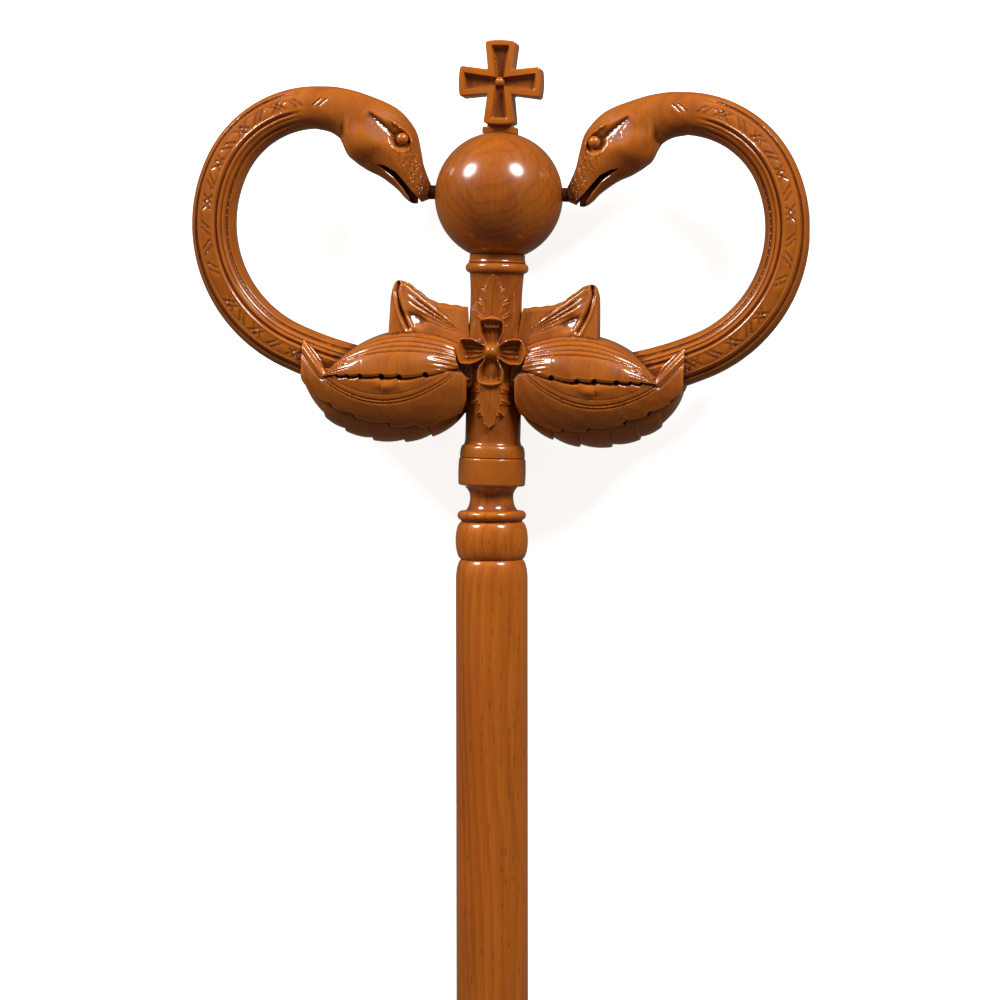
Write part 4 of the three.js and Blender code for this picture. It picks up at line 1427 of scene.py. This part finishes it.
def serpent_darks(points):
    """Where shade is painted dark: the mouth, the drilled holes, the gap at the stem and the peg,
    and more faintly the snout's end above the mouth.
    """
    place = np.column_stack([np.abs(points[:, 0]), points[:, 1:]])
    x, y, z = place.T
    to_mouth, _ = to_path(x, y, (*MOUTH, MOUTH[0]))
    # Painted shade: the mouth slot, the peg, the gap behind the cup and the drilled holes are
    # painted dark
    dark = inside(x, y, MOUTH) | (to_mouth < 0.06)
    dark |= (x < 30.3) & (np.hypot(y - PEG_HEIGHT, z) < PEG_RADIUS + 0.1)
    behind_cup = (y < STEM_RELIEF_TOP) & (z > STEM_RELIEF_BACK - 0.1)
    dark |= behind_cup & (np.hypot(x, z) < STEM_RADIUS + SEAT_GAP + STEM_RELIEF_WIDTH + 0.1)
    for spot, aim, radius in drill_places():
        offset = place - np.array(spot)
        depth = offset @ np.array(aim)
        away = np.linalg.norm(offset - depth[:, None] * np.array(aim), axis=1)
        dark |= (away < radius + 0.03) & (depth < 2.5) & (depth > -4)
    # The snout's end is painted darker towards the peg
    return np.maximum(dark, 0.6 * smooth(34, 30.5, x) * (y > MOUTH[8][1]))


def stem_room():
    """The room that the stem, its flower and its leaves take beside the sheath."""
    clear = STEM_RADIUS + SEAT_GAP
    wide = clear + STEM_RELIEF_WIDTH
    room = turned("room", [(2, -1), (clear, -1), (clear, NECK_RING_HEIGHT), (2, NECK_RING_HEIGHT)])
    cone = [(wide, -1), (wide, STEM_RELIEF_BOTTOM), (clear, STEM_RELIEF_TOP)]
    relief = turned("relief", [(2, -1), *cone, (2, STEM_RELIEF_TOP)])
    half = NECK_RING_HEIGHT
    behind = prism("behind", rectangle(-half, -half, half, half), -half, STEM_RELIEF_BACK)
    relief = cut_or_joined(relief, [behind], "DIFFERENCE")
    reach = PETAL_REACH + SEAT_GAP
    disc = turned("disc", [(2, 0), (reach, 0), (reach, 40), (2, 40)])
    place = Matrix.Translation((0, FLOWER_HEIGHT, PETAL_BACK - SEAT_GAP))
    disc.data.transform(place @ Matrix.Rotation(math.pi / 2, 4, "X"))
    return cut_or_joined(room, [relief, disc, *stem_leaves(SEAT_GAP)], "UNION")


def serpent(side):
    """One serpent with its sheath, on the +X side or mirrored to the -X side."""
    whole = cut_or_joined(serpent_form(), mouth_cuts(), "DIFFERENCE")
    eyes = []
    for way in (1, -1):
        centre = (EYE[0], EYE[1], way * (EYE[2] + EYE_PROUD))
        eyes.append(ball("eye", centre, (EYE_RADIUS,) * 3, 32))
    profile = [(0.5, 10), (PEG_RADIUS, 10.2), (PEG_RADIUS, PEG_ROOT - 0.6), (0.5, PEG_ROOT)]
    peg = turned("peg", profile, 48)
    place = Matrix.Translation((0, PEG_HEIGHT, 0))
    peg.data.transform(place @ Matrix.Rotation(-math.pi / 2, 4, "Z"))
    peg = cut_or_joined(peg, [orb_room()], "DIFFERENCE")
    leaves = [sheath_leaf(kind, front) for kind in ("lid", "lower") for front in (True, False)]
    whole = cut_or_joined(whole, [*eyes, peg, sheath_bulk(), *leaves, curled_leaf()], "UNION")
    whole = cut_or_joined(whole, [notch_drills(), stem_room()], "DIFFERENCE")
    if side < 0:
        whole.data.transform(Matrix.Diagonal((-1, 1, 1, 1)))
        whole.data.flip_normals()
    return cut_or_joined(whole, [below_rest(HEAD_LEAN)], "DIFFERENCE")


class CROSIER_OT_staff(Operator):
    """Turn the staff with its spool, ring and bead"""

    bl_idname = "crosier.staff"
    bl_label = "Staff"

    def execute(self, context):
        staff = turned("staff_turned", staff_profile())
        staff = cut_or_joined(staff, [below_rest(0)], "DIFFERENCE")
        finished(staff, "staff", staff_wood(), 0)
        return {"FINISHED"}


class CROSIER_OT_stem(Operator):
    """Turn the head's stem and carve the flower and leaves on its front"""

    bl_idname = "crosier.stem"
    bl_label = "Head stem"

    def execute(self, context):
        stem = turned("head_stem_carved", stem_profile())
        petals = [petal(i * math.pi / 2) for i in range(4)]
        front = PETAL_BACK + PETAL_DEPTH - BUD_RADIUS / 2
        bud = ball("bud", (0, FLOWER_HEIGHT, front), (BUD_RADIUS,) * 3)
        wide = PETAL_START + 3.4
        base = ball("base", (0, FLOWER_HEIGHT, PETAL_BACK), (wide, wide, PETAL_DEPTH * 0.7))
        stem = cut_or_joined(stem, [*petals, base, bud, *stem_leaves()], "UNION")
        stem = cut_or_joined(stem, [orb_room()], "DIFFERENCE")
        finished(stem, "head_stem", carved_wood(), HEAD_LEAN, hollows=0.4)
        return {"FINISHED"}


class CROSIER_OT_orb(Operator):
    """Turn the orb"""

    bl_idname = "crosier.orb"
    bl_label = "Orb"

    def execute(self, context):
        orb = ball("orb_turned", (0, ORB_HEIGHT, 0), (ORB_RADIUS,) * 3, 160)
        finished(orb, "orb", orb_wood(), HEAD_LEAN)
        return {"FINISHED"}


class CROSIER_OT_cross(Operator):
    """Carve the flared cross with its sunk panels and centre ball"""

    bl_idname = "crosier.cross"
    bl_label = "Cross"

    def execute(self, context):
        end = ARM_HALF_WIDTH + ARM_FLARE
        outline = cross_outline(ARM_HALF_WIDTH, end, 0, ARM_ROUNDING, ARM_BULGE)
        body = prism("cross_carved", outline, -CROSS_THICKNESS / 2, CROSS_THICKNESS / 2)
        bevel(body, 0.7, 4, 40)
        body = cut_or_joined(body, [recess(True), recess(False), tool_marks()], "DIFFERENCE")
        at = CROSS_THICKNESS / 2 - CROSS_RECESS + CROSS_BALL_RADIUS / 2
        balls = [ball("centre", (0, 0, way * at), (CROSS_BALL_RADIUS,) * 3, 32) for way in (1, -1)]
        half, high = end + PAD_FLARE, -CROSS_REACHES[3] - PAD_GROOVE
        low = ORB_HEIGHT - CROSS_HEIGHT + ORB_RADIUS - PAD_SUNK
        deep = PAD_THICKNESS / 2
        pad = prism("pad", rectangle(-half, low, half, high), -deep, deep)
        bevel(pad, 0.6, 4, 40)
        half, low, high = ARM_HALF_WIDTH, high - PAD_GROOVE, high + 2 * PAD_GROOVE
        deep = deep - PAD_GROOVE
        neck = prism("neck", rectangle(-half, low, half, high), -deep, deep)
        body = cut_or_joined(body, [*balls, pad, neck], "UNION")
        body.data.transform(Matrix.Translation((0, CROSS_HEIGHT, 0)))
        body = cut_or_joined(body, [orb_room()], "DIFFERENCE")
        finished(body, "cross", carved_wood(), HEAD_LEAN, hollows=0.55)
        return {"FINISHED"}


class CROSIER_OT_serpents(Operator):
    """Carve the two serpents that rise from their leaf sheaths"""

    bl_idname = "crosier.serpents"
    bl_label = "Serpents"

    def execute(self, context):
        for side, name in ((-1, "serpent_left"), (1, "serpent_right")):
            carved = serpent(side)
            carved.name = name + "_carved"
            finished(carved, name, carved_wood(), HEAD_LEAN, serpent_darks)
        return {"FINISHED"}


def softbox(name, direction, power):
    """A round light that faces the orb from a direction."""
    target = placing(HEAD_LEAN) @ Vector((0, ORB_HEIGHT, 0))
    lamp = bpy.data.lights.new(name, "AREA")
    lamp.shape = "DISK"
    lamp.size = SOFTBOX_WIDTH
    lamp.energy = power
    made = bpy.data.objects.new(name, lamp)
    aim = Vector(direction).normalized()
    made.location = target + aim * SOFTBOX_DISTANCE
    made.rotation_euler = aim.to_track_quat("Z", "Y").to_euler()
    bpy.context.scene.collection.objects.link(made)


class CROSIER_OT_stage(Operator):
    """Lay the pale floor and set the lights and the camera"""

    bl_idname = "crosier.stage"
    bl_label = "Stage"

    def execute(self, context):
        scene = context.scene
        picture = scene.crosier_picture
        corners = rectangle(-FLOOR_REACH, -FLOOR_REACH, FLOOR_REACH, FLOOR_REACH)
        floor = shaped("floor", [(x, y, 0) for x, y in corners], [(0, 1, 2, 3)])
        paper = bpy.data.materials.new("White paper")
        paper.use_nodes = True
        shader = paper.node_tree.nodes["Principled BSDF"]
        shader.inputs["Base Color"].default_value = (0.92, 0.92, 0.92, 1)
        shader.inputs["Roughness"].default_value = 0.9
        shader.inputs["Emission Color"].default_value = (1, 1, 1, 1)
        shader.inputs["Emission Strength"].default_value = 0.85
        floor.data.materials.append(paper)
        floor.visible_glossy = False
        floor.visible_diffuse = False
        world = bpy.data.worlds.new("Studio")
        scene.world = world
        world.use_nodes = True
        air = world.node_tree
        seen = node(air, "ShaderNodeLightPath").outputs["Is Camera Ray"]
        warm, white = (0.14, 0.115, 0.084, 1), (0.94, 0.94, 0.94, 1)
        air.links.new(mixed(air, seen, warm, white), air.nodes["Background"].inputs[0])
        for name, direction, power in SOFTBOXES:
            softbox(name, direction, power)
        middle = staff_origin() + Vector(SEEN_MIDDLE)
        eye = Vector(
            (
                math.sin(picture.yaw) * math.cos(picture.pitch),
                math.sin(picture.pitch),
                math.cos(picture.yaw) * math.cos(picture.pitch),
            )
        )
        lens = bpy.data.cameras.new("Camera")
        lens.sensor_width = 36
        lens.lens = lens.sensor_width * picture.distance / picture.view_width
        lens.clip_end = 100
        camera = bpy.data.objects.new("Camera", lens)
        right = Vector((0, 1, 0)).cross(eye).normalized()
        turn = Matrix((right, eye.cross(right), eye)).transposed().to_4x4()
        camera.matrix_world = Matrix.Translation(middle + eye * picture.distance) @ turn
        scene.collection.objects.link(camera)
        scene.camera = camera
        scene.view_settings.view_transform = "Standard"
        scene.view_settings.look = "None"
        return {"FINISHED"}


class CROSIER_PT_panel(Panel):
    """Lists the crosier's pieces and sizes"""

    bl_label = "Crosier"
    bl_idname = "CROSIER_PT_panel"
    bl_space_type = "VIEW_3D"
    bl_region_type = "UI"
    bl_category = "Crosier"

    def draw(self, context):
        scene = context.scene
        for group in (scene.crosier_carving, scene.crosier_colours, scene.crosier_picture):
            for name in group.__annotations__:
                self.layout.prop(group, name)
        for operator in OPERATORS:
            self.layout.operator(operator.bl_idname)


OPERATORS = (
    CROSIER_OT_stage,
    CROSIER_OT_staff,
    CROSIER_OT_stem,
    CROSIER_OT_orb,
    CROSIER_OT_cross,
    CROSIER_OT_serpents,
)
GROUPS = {
    "crosier_carving": CrosierCarving,
    "crosier_colours": CrosierColours,
    "crosier_picture": CrosierPicture,
}


def register():
    for cls in (*GROUPS.values(), *OPERATORS, CROSIER_PT_panel):
        bpy.utils.register_class(cls)
    for name, cls in GROUPS.items():
        setattr(bpy.types.Scene, name, PointerProperty(type=cls))


def unregister():
    for name in GROUPS:
        delattr(bpy.types.Scene, name)
    for cls in reversed((*GROUPS.values(), *OPERATORS, CROSIER_PT_panel)):
        bpy.utils.unregister_class(cls)


def main():
    register()
    bpy.ops.crosier.stage()
    bpy.ops.crosier.staff()
    bpy.ops.crosier.stem()
    bpy.ops.crosier.orb()
    bpy.ops.crosier.cross()
    bpy.ops.crosier.serpents()


if __name__ == "__main__":
    main()
